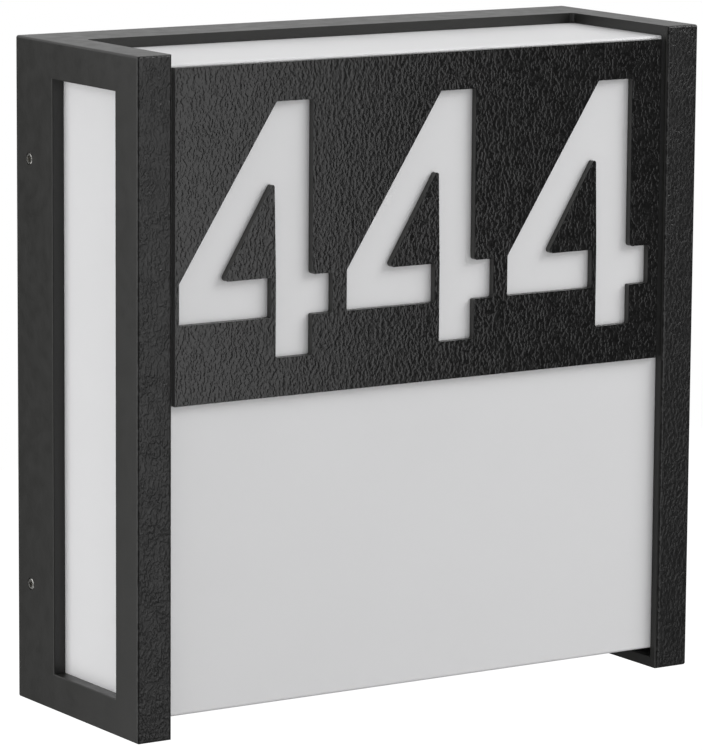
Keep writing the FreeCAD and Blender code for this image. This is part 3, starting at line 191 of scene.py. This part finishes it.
def add_node(tree, kind, inputs=None, **settings):
    """Adds a shader node with its settings; each input gets a constant, or an output to read."""
    made = tree.nodes.new(f"ShaderNode{kind}")
    for name, choice in settings.items():
        setattr(made, name, choice)
    fill_inputs(tree, made, inputs or {})
    return made


def new_material(name):
    """An empty material with the object's own coordinates and a Principled shader."""
    material = bpy.data.materials.new(name)
    material.use_nodes = True
    tree = material.node_tree
    tree.nodes.clear()
    place = add_node(tree, "TexCoord").outputs["Object"]
    shader = add_node(tree, "BsdfPrincipled")
    add_node(tree, "OutputMaterial", {"Surface": shader.outputs["BSDF"]})
    return material, tree, place, shader


def shade(colour, factor):
    """The colour, made lighter or darker by a factor."""
    return (*[min(1, channel * factor) for channel in colour[:3]], 1.0)


def speckle(tree, place, colour, size_mm, spread):
    """Colour variation: noise of one size mixes the colour's darker and lighter shade."""
    noise = add_node(tree, "TexNoise", {
        "Vector": place, "Scale": per_metre(size_mm), "Detail": 4,
    })
    return add_node(tree, "MixRGB", {
        "Fac": noise.outputs["Fac"],
        "Color1": shade(colour, 1 - spread),
        "Color2": shade(colour, 1 + spread),
    }).outputs["Color"]


def uneven(tree, place, low, high, size_mm):
    """Roughness that wanders between two values over patches of one size."""
    noise = add_node(tree, "TexNoise", {
        "Vector": place, "Scale": per_metre(size_mm), "Detail": 3,
    })
    return add_node(tree, "MapRange", {
        "Value": noise.outputs["Fac"],
        "From Min": 0.3, "From Max": 0.7, "To Min": low, "To Max": high,
    }).outputs["Result"]


def grain_bump(tree, place, size_mm, height_mm):
    """Fine relief from noise of one size."""
    noise = add_node(tree, "TexNoise", {
        "Vector": place, "Scale": per_metre(size_mm), "Detail": 3,
    })
    return add_node(tree, "Bump", {
        "Height": noise.outputs["Fac"], "Strength": 1.0, "Distance": height_mm / 1000,
    }).outputs["Normal"]


# ---- finishes ----

def worm_coat(name, coat, start, gloss, relief, walls, edge):
    """Powder coat on cast and sheet aluminium: fine and satin, but glossy on the front.

    The front coat was sprayed so that it drew into small rounded ridges, longer than wide and
    mostly upright, which break a reflection into short bright and dark strokes. It starts at the
    distance start from the wall. The ridges are painted lighter and the hollows between them
    darker, a painted highlight and painted shade. Behind the front coat the coat has the colour
    walls; on the plate this colour is painted light, paler than the same coat on the casting.
    Along cut edges the coat runs thin and smooth and has the colour edge; on the plate this
    colour is painted shade, a dark line round each figure.
    """
    worm_mm = coat.worm * 1000
    wander_mm = 3.5 * worm_mm
    drift_mm = 5 * worm_mm
    bend = 0.0014
    upright = 0.7
    fade = 0.0003
    material, tree, place, shader = new_material(name)
    apart = add_node(tree, "SeparateXYZ", {"Vector": place})
    front = add_node(tree, "MapRange", {
        "Value": apart.outputs["Y"], "From Min": -start, "From Max": -start - fade,
    }).outputs["Result"]
    # Where a rounded corner would turn away from the flat face, the coat is thin and its relief
    # flattens;
    # on the plate the same rim carries a painted shade, a dark line along each cut edge.
    rounded = add_node(tree, "Bevel", {"Radius": coat.rim}, samples=4).outputs["Normal"]
    facing = add_node(tree, "VectorMath", {
        0: rounded, 1: add_node(tree, "NewGeometry").outputs["True Normal"],
    }, operation="DOT_PRODUCT").outputs["Value"]
    rim = add_node(tree, "MapRange", {
        "Value": facing, "From Min": 0.999, "From Max": 0.93,
    }).outputs["Result"]

    # The ridges are the high parts of a noise that is bent sideways and drawn out upwards.
    wander = add_node(tree, "TexNoise", {
        "Vector": place, "Scale": per_metre(wander_mm), "Detail": 1.0,
    })
    moved = add_node(tree, "VectorMath", {
        0: wander.outputs["Color"], 1: (bend, bend, bend), 2: place,
    }, operation="MULTIPLY_ADD").outputs["Vector"]
    drawn = add_node(tree, "Mapping", {
        "Vector": moved, "Scale": (1.0, 1.0, upright),
    }).outputs["Vector"]
    worms = add_node(tree, "TexNoise", {
        "Vector": drawn, "Scale": per_metre(worm_mm), "Detail": 2.0, "Roughness": 0.5,
    })
    ridges = add_node(tree, "MapRange", {
        "Value": worms.outputs["Fac"], "From Min": 0.38, "From Max": 0.66,
    }, interpolation_type="SMOOTHSTEP").outputs["Result"]
    # They stand less high in some patches than in others.
    pooled = add_node(tree, "TexNoise", {
        "Vector": place, "Scale": per_metre(drift_mm), "Detail": 1.0,
    })
    drifts = add_node(tree, "MapRange", {
        "Value": pooled.outputs["Fac"],
        "From Min": 0.35, "From Max": 0.65, "To Min": 0.45, "To Max": 1.0,
    }).outputs["Result"]

    fine = grain_bump(tree, place, size_mm=0.55, height_mm=0.02)
    height = add_node(tree, "Math", {0: 1.0, 1: rim}, operation="SUBTRACT").outputs["Value"]
    for share in (front, drifts, ridges):
        height = add_node(tree, "Math", {
            0: height, 1: share,
        }, operation="MULTIPLY").outputs["Value"]
    raised = add_node(tree, "Bump", {
        "Height": height, "Strength": 1.0, "Distance": relief, "Normal": fine,
    }).outputs["Normal"]

    # The coat behind the front layer has the colour walls: on the plate a painted light, paler
    # than the casting's coat; on the casting its own colour.
    smooth = speckle(tree, place, walls, size_mm=1.2, spread=0.10)
    # Ridge tops painted lighter and the hollows darker: a painted highlight and painted shade on
    # the relief.
    glossy = add_node(tree, "MixRGB", {
        "Fac": ridges, "Color1": shade(coat.glossy, 0.5), "Color2": shade(coat.glossy, 1.35),
    }).outputs["Color"]
    sprayed = add_node(tree, "MixRGB", {
        "Fac": front, "Color1": smooth, "Color2": glossy,
    }).outputs["Color"]
    # Along the rim the colour turns to edge: on the plate a painted shade, a dark line round each
    # figure.
    colour = add_node(tree, "MixRGB", {
        "Fac": rim, "Color1": sprayed, "Color2": edge,
    }).outputs["Color"]
    satin = uneven(tree, place, 0.34, 0.42, size_mm=6.0)
    shiny = uneven(tree, place, gloss, gloss + 0.06, size_mm=9.0)
    roughness = add_node(tree, "MapRange", {
        "Value": front, "To Min": satin, "To Max": shiny,
    }).outputs["Result"]
    fill_inputs(tree, shader, {
        "Base Color": colour, "Roughness": roughness, "Normal": raised,
        "IOR": 1.5, "Specular IOR Level": 0.5,
    })
    return material


def opal_acrylic(name, colour, roughness):
    """Opal acrylic: milky right through, with a smooth, softly glossy skin."""
    material, tree, place, shader = new_material(name)
    fill_inputs(tree, shader, {
        "Base Color": speckle(tree, place, colour, size_mm=45.0, spread=0.012),
        "Roughness": uneven(tree, place, roughness, roughness + 0.06, size_mm=25.0),
        "Normal": grain_bump(tree, place, size_mm=3.0, height_mm=0.004),
        "IOR": 1.49,
        "Subsurface Weight": 0.2,
        "Subsurface Radius": (1.0, 1.0, 1.0),
        "Subsurface Scale": 0.0012,
    })
    return material


def metal(name, colour, roughness, grain_mm, brushed=None):
    """Bare or plated metal; brushed stretches its fine scratches along one axis."""
    drawn_out = 0.06
    material, tree, place, shader = new_material(name)
    along = [drawn_out if axis == brushed else 1 for axis in "xyz"]
    stretched = add_node(tree, "Mapping", {"Vector": place, "Scale": along}).outputs["Vector"]
    fill_inputs(tree, shader, {
        "Base Color": speckle(tree, place, colour, size_mm=4.0, spread=0.06),
        "Metallic": 1.0,
        "Roughness": uneven(tree, stretched, roughness, roughness + 0.14, size_mm=2.5),
        "Normal": grain_bump(tree, stretched, grain_mm, height_mm=0.008),
    })
    return material


def moulded(name, colour, roughness, grain_mm=0.8, height_mm=0.012, sheen=0.0):
    """Plastic, rubber, glaze, powder coat or lead sheath with a fine grain."""
    material, tree, place, shader = new_material(name)
    fill_inputs(tree, shader, {
        "Base Color": speckle(tree, place, colour, size_mm=5.0, spread=0.05),
        "Roughness": uneven(tree, place, roughness, roughness + 0.1, size_mm=6.0),
        "Normal": grain_bump(tree, place, grain_mm, height_mm),
        "IOR": 1.5,
        "Sheen Weight": sheen,
    })
    return material


def foam(name, colour):
    """Closed-cell foam strip: matt, with round pores cut open at its faces."""
    pore_mm = 0.9
    pore_depth = 0.0003
    material, tree, place, shader = new_material(name)
    cells = add_node(tree, "TexVoronoi", {
        "Vector": place, "Scale": per_metre(pore_mm),
    }, feature="F1")
    pores = add_node(tree, "MapRange", {
        "Value": cells.outputs["Distance"], "From Min": 0.1, "From Max": 0.5,
    }).outputs["Result"]
    fill_inputs(tree, shader, {
        # Pore centres painted darker than the faces between them: painted shade in the open
        # hollows.
        "Base Color": add_node(tree, "MixRGB", {
            "Fac": pores, "Color1": shade(colour, 0.5), "Color2": shade(colour, 1.2),
        }).outputs["Color"],
        "Roughness": uneven(tree, place, 0.8, 0.92, size_mm=4.0),
        "Normal": add_node(tree, "Bump", {
            "Height": pores, "Strength": 0.8, "Distance": pore_depth,
        }).outputs["Normal"],
        "Sheen Weight": 0.1,
    })
    return material


def earth_sheath(name, green, yellow):
    """Two-coloured lead sheath: one stripe of yellow runs along the green."""
    blur = 0.0001
    material, tree, place, shader = new_material(name)
    stripe = add_node(tree, "MapRange", {
        "Value": add_node(tree, "SeparateXYZ", {"Vector": place}).outputs["X"],
        "From Min": -blur, "From Max": blur,
    }).outputs["Result"]
    fill_inputs(tree, shader, {
        "Base Color": add_node(tree, "MixRGB", {
            "Fac": stripe, "Color1": green, "Color2": yellow,
        }).outputs["Color"],
        "Roughness": uneven(tree, place, 0.4, 0.5, size_mm=6.0),
        "Normal": grain_bump(tree, place, size_mm=0.8, height_mm=0.01),
    })
    return material


def wear(material, *names):
    """Gives CAD nodes a material."""
    for name in names:
        slots = NODES[name].data.materials
        if len(slots):
            for number in range(len(slots)):
                slots[number] = material
        else:
            slots.append(material)


# ---- new pieces ----

def mesh_piece(name, points, faces, material):
    """A mesh object from arrays of points and of four-cornered faces."""
    mesh = bpy.data.meshes.new(name)
    mesh.from_pydata(points.tolist(), [], faces.tolist())
    mesh.materials.append(material)
    mesh.polygons.foreach_set("use_smooth", np.ones(len(faces), bool))
    close_poles(mesh)
    piece = bpy.data.objects.new(name, mesh)
    bpy.context.scene.collection.objects.link(piece)
    return piece


def close_poles(mesh):
    """Merges the points of each ring that has drawn in to the axis."""
    shape = bmesh.new()
    shape.from_mesh(mesh)
    bmesh.ops.remove_doubles(shape, verts=shape.verts, dist=1e-7)
    shape.to_mesh(mesh)
    shape.free()
    mesh.update()


def grid_faces(rows, columns, ring):
    """Faces of a grid of rows x columns points; in a ring, the last column meets the first."""
    row, column = np.meshgrid(np.arange(rows - 1), np.arange(columns if ring else columns - 1),
                              indexing="ij")
    following = (column + 1) % columns
    corners = [row * columns + column, row * columns + following,
               (row + 1) * columns + following, (row + 1) * columns + column]
    return np.stack(corners, -1).reshape(-1, 4)


def cap_points(middle, foot, top, radius, thread, rings, columns):
    """Points of a lamp cap in rings from its foot to its top, with four rings more at its ends.

    At height z and angle a, the radius is the crest radius less depth * (1 - wave), where
    wave = 0.5 + 0.5 * cos(2 pi (z - foot) / pitch - a) is the thread. It fades to a plain rim
    above the last turn and to a plain edge below the first. At either end one ring draws in
    to 0.9 of the radius, and the next to the axis.
    """
    height = np.linspace(foot, top, rings)[:, None]
    angle = np.linspace(0, 2 * math.pi, columns, endpoint=False)[None, :]
    wave = 0.5 + 0.5 * np.cos(2 * math.pi * (height - foot) / thread.pitch - angle)
    last = foot + thread.pitch * thread.turns
    run_in, run_out = 0.4 * thread.pitch, 0.3 * thread.pitch
    fade = np.clip((height - foot) / run_in, 0, 1) * np.clip((last - height) / run_out, 0, 1)
    plain = np.where(height > last, 1.0, 0.0)
    around = radius - thread.depth * (1 - np.maximum(wave * fade, plain))
    x = middle.x + around * np.cos(angle)
    y = middle.y + around * np.sin(angle)
    shell = np.stack([x, y, np.broadcast_to(height, x.shape)], -1)
    centre = np.array([middle.x, middle.y, 0.0])

    def drawn_in(ring, share):
        return (ring * np.array([share, share, 1.0]) + centre * (1 - share))[None]

    return np.concatenate([
        drawn_in(shell[0], 0.0), drawn_in(shell[0], 0.9), shell,
        drawn_in(shell[-1], 0.9), drawn_in(shell[-1], 0.0),
    ]).reshape(-1, 3)


# ---- operators: one for each piece or group of like pieces ----

class SIGN_OT_casting(bpy.types.Operator):
    """Coat the cast frame: satin on its sides, glossy worm texture on its front lips"""
    bl_idname = "sign.casting"
    bl_label = "Coat the casting"

    def execute(self, context):
        coat = context.scene.sign.coat
        start = -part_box("frame")[0].y - coat.lip_depth
        # Powder coat on cast aluminium: dark satin sides, glossy ridges that sparkle on the lips.
        wear(worm_coat("powder_coated_cast_aluminium", coat, start, coat.lip_gloss,
                       coat.lip_relief, walls=coat.smooth, edge=coat.smooth),
             "frame")
        return {"FINISHED"}


class SIGN_OT_number_plate(bpy.types.Operator):
    """Coat the number plate and finish its studs, washers and nuts"""
    bl_idname = "sign.number_plate"
    bl_label = "Coat the number plate"

    def execute(self, context):
        coat = context.scene.sign.coat
        start = -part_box("number_plate")[0].y - coat.plate_depth
        # Powder coat on sheet aluminium: glossier than the casting, with a painted shade line
        # round each figure and cut walls painted lighter than the coat on the casting, a painted
        # light.
        wear(worm_coat("powder_coated_sheet_aluminium", coat, start, coat.plate_gloss,
                       coat.plate_relief, walls=coat.cut, edge=shade(coat.glossy, 0.3)),
             "number_plate")
        # Zinc-plated steel: pale bluish metal with a soft shine.
        wear(metal("zinc_plated_steel", linear("#b9bcc0"), roughness=0.25, grain_mm=0.4),
             "plate_studs", "plate_washers", "plate_nuts")
        return {"FINISHED"}


class SIGN_OT_diffuser(bpy.types.Operator):
    """Make the diffuser opal, and its gasket foam"""
    bl_idname = "sign.diffuser"
    bl_label = "Finish the diffuser"

    def execute(self, context):
        # Opal acrylic sheet: even milky white with soft edges to the shadows on it.
        wear(opal_acrylic("opal_acrylic_sheet", context.scene.sign.opal.sheet, roughness=0.3),
             "diffuser")
        # Black foam strip: matt, with open pores.
        wear(foam("black_foam_strip", linear("#3a3a3b")), "diffuser_gasket")
        return {"FINISHED"}


class SIGN_OT_clamping_screws(bpy.types.Operator):
    """Finish the socket screws in the sides, and the clips that hold the diffuser"""
    bl_idname = "sign.clamping_screws"
    bl_label = "Finish clamping screws and clips"

    def execute(self, context):
        # Bright stainless steel: small bright rings in the dark side.
        steel = metal("bright_stainless_steel", linear("#c9c8c4"), roughness=0.18, grain_mm=0.25)
        wear(steel, "clip_screws", *[f"set_screw_{side}_{level}"
                                     for side in SIDES for level in LEVELS])
        # Rolled stainless strip: its fine scratches run along the strip.
        wear(metal("stainless_spring_strip", linear("#b8b8b5"), roughness=0.28, grain_mm=0.2,
                   brushed="y"),
             "diffuser_clips")
        return {"FINISHED"}


class SIGN_OT_wall_side(bpy.types.Operator):
    """Finish the wall plate, its foam, the grommet and the lampholder bracket"""
    bl_idname = "sign.wall_side"
    bl_label = "Finish the wall side"

    def execute(self, context):
        # White powder coat: satin, with a fine grain.
        wear(moulded("white_powder_coat", linear("#e4e3de"), roughness=0.42, grain_mm=0.5),
             "wall_plate")
        # Grey foam sheet: matt, with open pores.
        wear(foam("grey_foam_sheet", linear("#5d5e60")), "wall_gasket")
        # Black rubber: matt, with a dusty sheen at its edges.
        wear(moulded("black_rubber", linear("#232324"), roughness=0.6, grain_mm=0.5,
                     height_mm=0.015, sheen=0.1),
             "cable_grommet")
        # Bright zinc sheet: streaks from rolling run along the bracket.
        wear(metal("bright_zinc_sheet", linear("#bfc3c6"), roughness=0.3, grain_mm=0.5,
                   brushed="x"),
             "lampholder_bracket")
        # Bright zinc on fasteners: pale, and shinier than the sheet.
        wear(metal("bright_zinc_fasteners", linear("#c3c5c8"), roughness=0.24, grain_mm=0.3),
             "bracket_screws", "mounting_nipples", "nipple_nuts", "terminal_fixing_screws")
        return {"FINISHED"}


class SIGN_OT_terminals(bpy.types.Operator):
    """Finish the terminal block and the earth point"""
    bl_idname = "sign.terminals"
    bl_label = "Finish the terminals"

    def execute(self, context):
        # Natural polyamide: milky cream plastic with a dull shine.
        wear(moulded("natural_polyamide", linear("#e3e0d6"), roughness=0.45), "terminal_block")
        # Bright brass: warm yellow metal.
        wear(metal("bright_brass", linear("#d8bd7a"), roughness=0.22, grain_mm=0.3),
             "terminal_clamps", "terminal_screws")
        # Tinned copper: pale, slightly warm metal.
        wear(metal("tinned_copper", linear("#cfccc6"), roughness=0.3, grain_mm=0.3), "earth_lug")
        # Bright zinc: pale bluish metal.
        wear(metal("bright_zinc_earth_screw", linear("#c3c5c8"), roughness=0.24, grain_mm=0.3),
             "earth_screw", "earth_washer")
        return {"FINISHED"}


class SIGN_OT_leads(bpy.types.Operator):
    """Colour the sheaths of the internal leads"""
    bl_idname = "sign.leads"
    bl_label = "Finish the leads"

    def execute(self, context):
        # Silicone sheaths: plain colours with a dull, rubbery shine.
        brown, blue = [
            moulded(f"{colour}_silicone_sheath", linear(code), roughness=0.5, grain_mm=0.6,
                    height_mm=0.01)
            for colour, code in (("brown", "#5a3a28"), ("blue", "#2f5f9e"))
        ]
        for side in SIDES:
            wear(brown, f"live_lead_{side}")
            wear(blue, f"neutral_lead_{side}")
        # Two-coloured sheath: a yellow stripe on green.
        wear(earth_sheath("green_and_yellow_sheath", linear("#4f9a3a"), linear("#e0c33c")),
             "earth_lead")
        return {"FINISHED"}


class SIGN_OT_lampholders(bpy.types.Operator):
    """Finish the lampholders"""
    bl_idname = "sign.lampholders"
    bl_label = "Finish the lampholders"

    def execute(self, context):
        # Black phenolic moulding: nearly smooth, with a soft shine.
        skirt = moulded("black_phenolic_skirt", linear("#2a2a2b"), roughness=0.32,
                        height_mm=0.008)
        # White steatite: a pale ceramic with a slightly wavy skin.
        glaze = moulded("white_steatite_insert", linear("#e9e7e0"), roughness=0.3, grain_mm=1.2,
                        height_mm=0.01)
        # Nickel plating on the shell: bright, slightly warm metal.
        shell = metal("nickel_plated_shell", linear("#cfccc3"), roughness=0.24, grain_mm=0.3)
        # Brass spring: warm yellow metal.
        brass = metal("brass_contact_spring", linear("#d6b974"), roughness=0.26, grain_mm=0.3)
        for side in SIDES:
            wear(skirt, f"lampholder_body_{side}")
            wear(glaze, f"lampholder_insert_{side}")
            wear(shell, f"lampholder_shell_{side}")
            wear(brass, f"lampholder_contact_{side}")
        return {"FINISHED"}


class SIGN_OT_lamps(bpy.types.Operator):
    """Finish the lamps and cut a true thread on their caps"""
    bl_idname = "sign.lamps"
    bl_label = "Finish the lamps"

    def execute(self, context):
        settings = context.scene.sign
        # Nickel plating on the cap: bright metal that shows each turn of the thread.
        cap_metal = metal("nickel_plated_cap", linear("#d2d2d0"), roughness=0.2, grain_mm=0.3)
        # Black glass-like insulator: dark and shiny.
        insulator = moulded("black_cap_insulator", linear("#1d1d1e"), roughness=0.2,
                            grain_mm=1.0, height_mm=0.005)
        # White lamp housing: smooth plastic with a soft shine.
        housing = moulded("white_lamp_housing", linear("#e9e9e6"), roughness=0.3, grain_mm=0.9,
                          height_mm=0.006)
        # Opal globe: warm milky white.
        cover = opal_acrylic("opal_lamp_globe", settings.opal.globe, roughness=0.35)
        rings, columns, end_rings = 120, 96, 4
        for side in SIDES:
            low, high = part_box(f"lamp_cap_{side}")
            points = cap_points((low + high) / 2, low.z, high.z, (high.x - low.x) / 2,
                                settings.thread, rings, columns)
            faces = grid_faces(rings + end_rings, columns, ring=True)
            cap = mesh_piece(f"threaded_cap_{side}", points, faces, cap_metal)
            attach(cap, f"lamp_{side}")
            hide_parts(f"lamp_cap_{side}")
            wear(insulator, f"lamp_insulator_{side}")
            wear(housing, f"lamp_neck_{side}")
            wear(cover, f"lamp_globe_{side}")
        return {"FINISHED"}


class SIGN_OT_studio(bpy.types.Operator):
    """Put up the floor, the light and the camera"""
    bl_idname = "sign.studio"
    bl_label = "Put up the studio"

    def execute(self, context):
        scene = context.scene
        make_floor(scene.sign.studio)
        make_sky(scene, scene.sign.studio)
        for softbox in SOFTBOXES:
            make_softbox(*softbox)
        make_camera(scene, scene.sign.studio)
        scene.view_settings.view_transform = "Standard"
        return {"FINISHED"}


def ray_kinds(tree):
    """Whether a ray is a reflection, and whether the camera sees it straight or through glass."""
    path = add_node(tree, "LightPath")
    straight = add_node(tree, "Math", {
        0: path.outputs["Is Camera Ray"], 1: path.outputs["Is Transmission Ray"],
    }, operation="MAXIMUM").outputs["Value"]
    return path.outputs["Is Glossy Ray"], straight


def make_floor(studio):
    """A level sheet under and behind the sign: white to the camera, less the shadow on it."""
    count = 9
    x, y = np.meshgrid(np.linspace(-2.5, 2.5, count), np.linspace(-0.8, 3.2, count))
    height = CAD_BOX[0][2] - studio.floor_drop
    points = np.stack([x, y, np.full_like(x, height)], -1).reshape(-1, 3)
    # Matt pale paper: no grain shows at this distance, only a faint unevenness.
    material, tree, place, shader = new_material("pale_paper_floor")
    reflected, straight = ray_kinds(tree)
    mirrored = add_node(tree, "MapRange", {
        "Value": reflected, "To Max": studio.floor_mirrored,
    }).outputs["Result"]
    fill_inputs(tree, shader, {
        "Base Color": speckle(tree, place, linear("#8c8c8c"), size_mm=400.0, spread=0.01),
        "Roughness": uneven(tree, place, 0.9, 0.95, size_mm=200.0),
        "Specular IOR Level": 0.0,
        "Emission Color": WHITE,
        "Emission Strength": add_node(tree, "MapRange", {
            "Value": straight, "To Min": mirrored, "To Max": studio.floor_white,
        }).outputs["Result"],
    })
    mesh_piece("floor", points, grid_faces(count, count, ring=False), material)


def make_sky(scene, studio):
    """Even soft light from all round. The camera sees plain white everywhere.

    A reflection sees the white backdrop behind the sign, and the dimmer room beside and before it.
    """
    world = bpy.data.worlds.new("even_white_sky")
    world.use_nodes = True
    tree = world.node_tree
    tree.nodes.clear()
    reflected, straight = ray_kinds(tree)
    direction = add_node(tree, "SeparateXYZ", {
        "Vector": add_node(tree, "TexCoord").outputs["Generated"],
    })
    room = add_node(tree, "MapRange", {
        "Value": direction.outputs["Y"], "From Min": -0.9, "From Max": -0.2,
        "To Min": studio.room_front, "To Max": studio.room_side,
    }).outputs["Result"]
    behind = add_node(tree, "MapRange", {
        "Value": direction.outputs["Y"], "From Min": -0.3, "From Max": 0.4,
    }).outputs["Result"]
    raised = add_node(tree, "MapRange", {
        "Value": direction.outputs["Z"], "From Min": -0.1, "From Max": 0.15,
    }).outputs["Result"]
    screen = add_node(tree, "Math", {0: behind, 1: raised}, operation="MULTIPLY")
    backdrop = add_node(tree, "MapRange", {
        "Value": screen.outputs["Value"], "To Min": room, "To Max": studio.backdrop,
    }).outputs["Result"]
    lit = add_node(tree, "MapRange", {
        "Value": reflected, "To Min": studio.fill, "To Max": backdrop,
    }).outputs["Result"]
    strength = add_node(tree, "MapRange", {
        "Value": straight, "To Min": lit, "To Max": 1.0,
    }).outputs["Result"]
    sky = add_node(tree, "Background", {"Color": WHITE, "Strength": strength})
    add_node(tree, "OutputWorld", {"Surface": sky.outputs["Background"]})
    scene.world = world


def make_softbox(name, place, target, size, power):
    """An area light at place that faces target; size gives its width and its height."""
    light = bpy.data.lights.new(name, "AREA")
    light.shape = "RECTANGLE"
    light.size, light.size_y = size
    light.energy = power
    softbox = bpy.data.objects.new(name, light)
    softbox.location = place
    facing = (Vector(target) - Vector(place)).to_track_quat("-Z", "Y")
    softbox.rotation_euler = facing.to_euler()
    bpy.context.scene.collection.objects.link(softbox)


def make_camera(scene, studio):
    """The camera at the photograph's viewing angle."""
    view = bpy.data.cameras.new("photo_camera")
    view.lens = studio.lens
    view.sensor_width = 36
    view.clip_end = 50
    camera = bpy.data.objects.new("photo_camera", view)
    camera.rotation_mode = "QUATERNION"
    camera.location = studio.place
    camera.rotation_quaternion = Quaternion(studio.turn)
    scene.collection.objects.link(camera)
    scene.camera = camera


PIECES = (
    SIGN_OT_casting, SIGN_OT_number_plate, SIGN_OT_diffuser, SIGN_OT_clamping_screws,
    SIGN_OT_wall_side, SIGN_OT_terminals, SIGN_OT_leads, SIGN_OT_lampholders, SIGN_OT_lamps,
    SIGN_OT_studio,
)


class SIGN_PT_panel(bpy.types.Panel):
    """Lists the sign's settings and its operators"""
    bl_idname = "SIGN_PT_panel"
    bl_label = "House Sign"
    bl_space_type = "VIEW_3D"
    bl_region_type = "UI"
    bl_category = "House Sign"

    def draw(self, context):
        settings = context.scene.sign
        for group in (settings.coat, settings.opal, settings.thread, settings.studio):
            box = self.layout.box()
            for name in group.__annotations__:
                box.prop(group, name)
        for piece in PIECES:
            self.layout.operator(piece.bl_idname)


CLASSES = (
    CoatSettings, OpalSettings, ThreadSettings, StudioSettings, SignSettings,
    *PIECES, SIGN_PT_panel,
)


def register():
    for item in CLASSES:
        bpy.utils.register_class(item)
    bpy.types.Scene.sign = PointerProperty(type=SignSettings)


def unregister():
    del bpy.types.Scene.sign
    for item in reversed(CLASSES):
        bpy.utils.unregister_class(item)


def main():
    register()
    for piece in PIECES:
        group, name = piece.bl_idname.split(".")
        getattr(getattr(bpy.ops, group), name)()


if __name__ == "__main__":
    main()
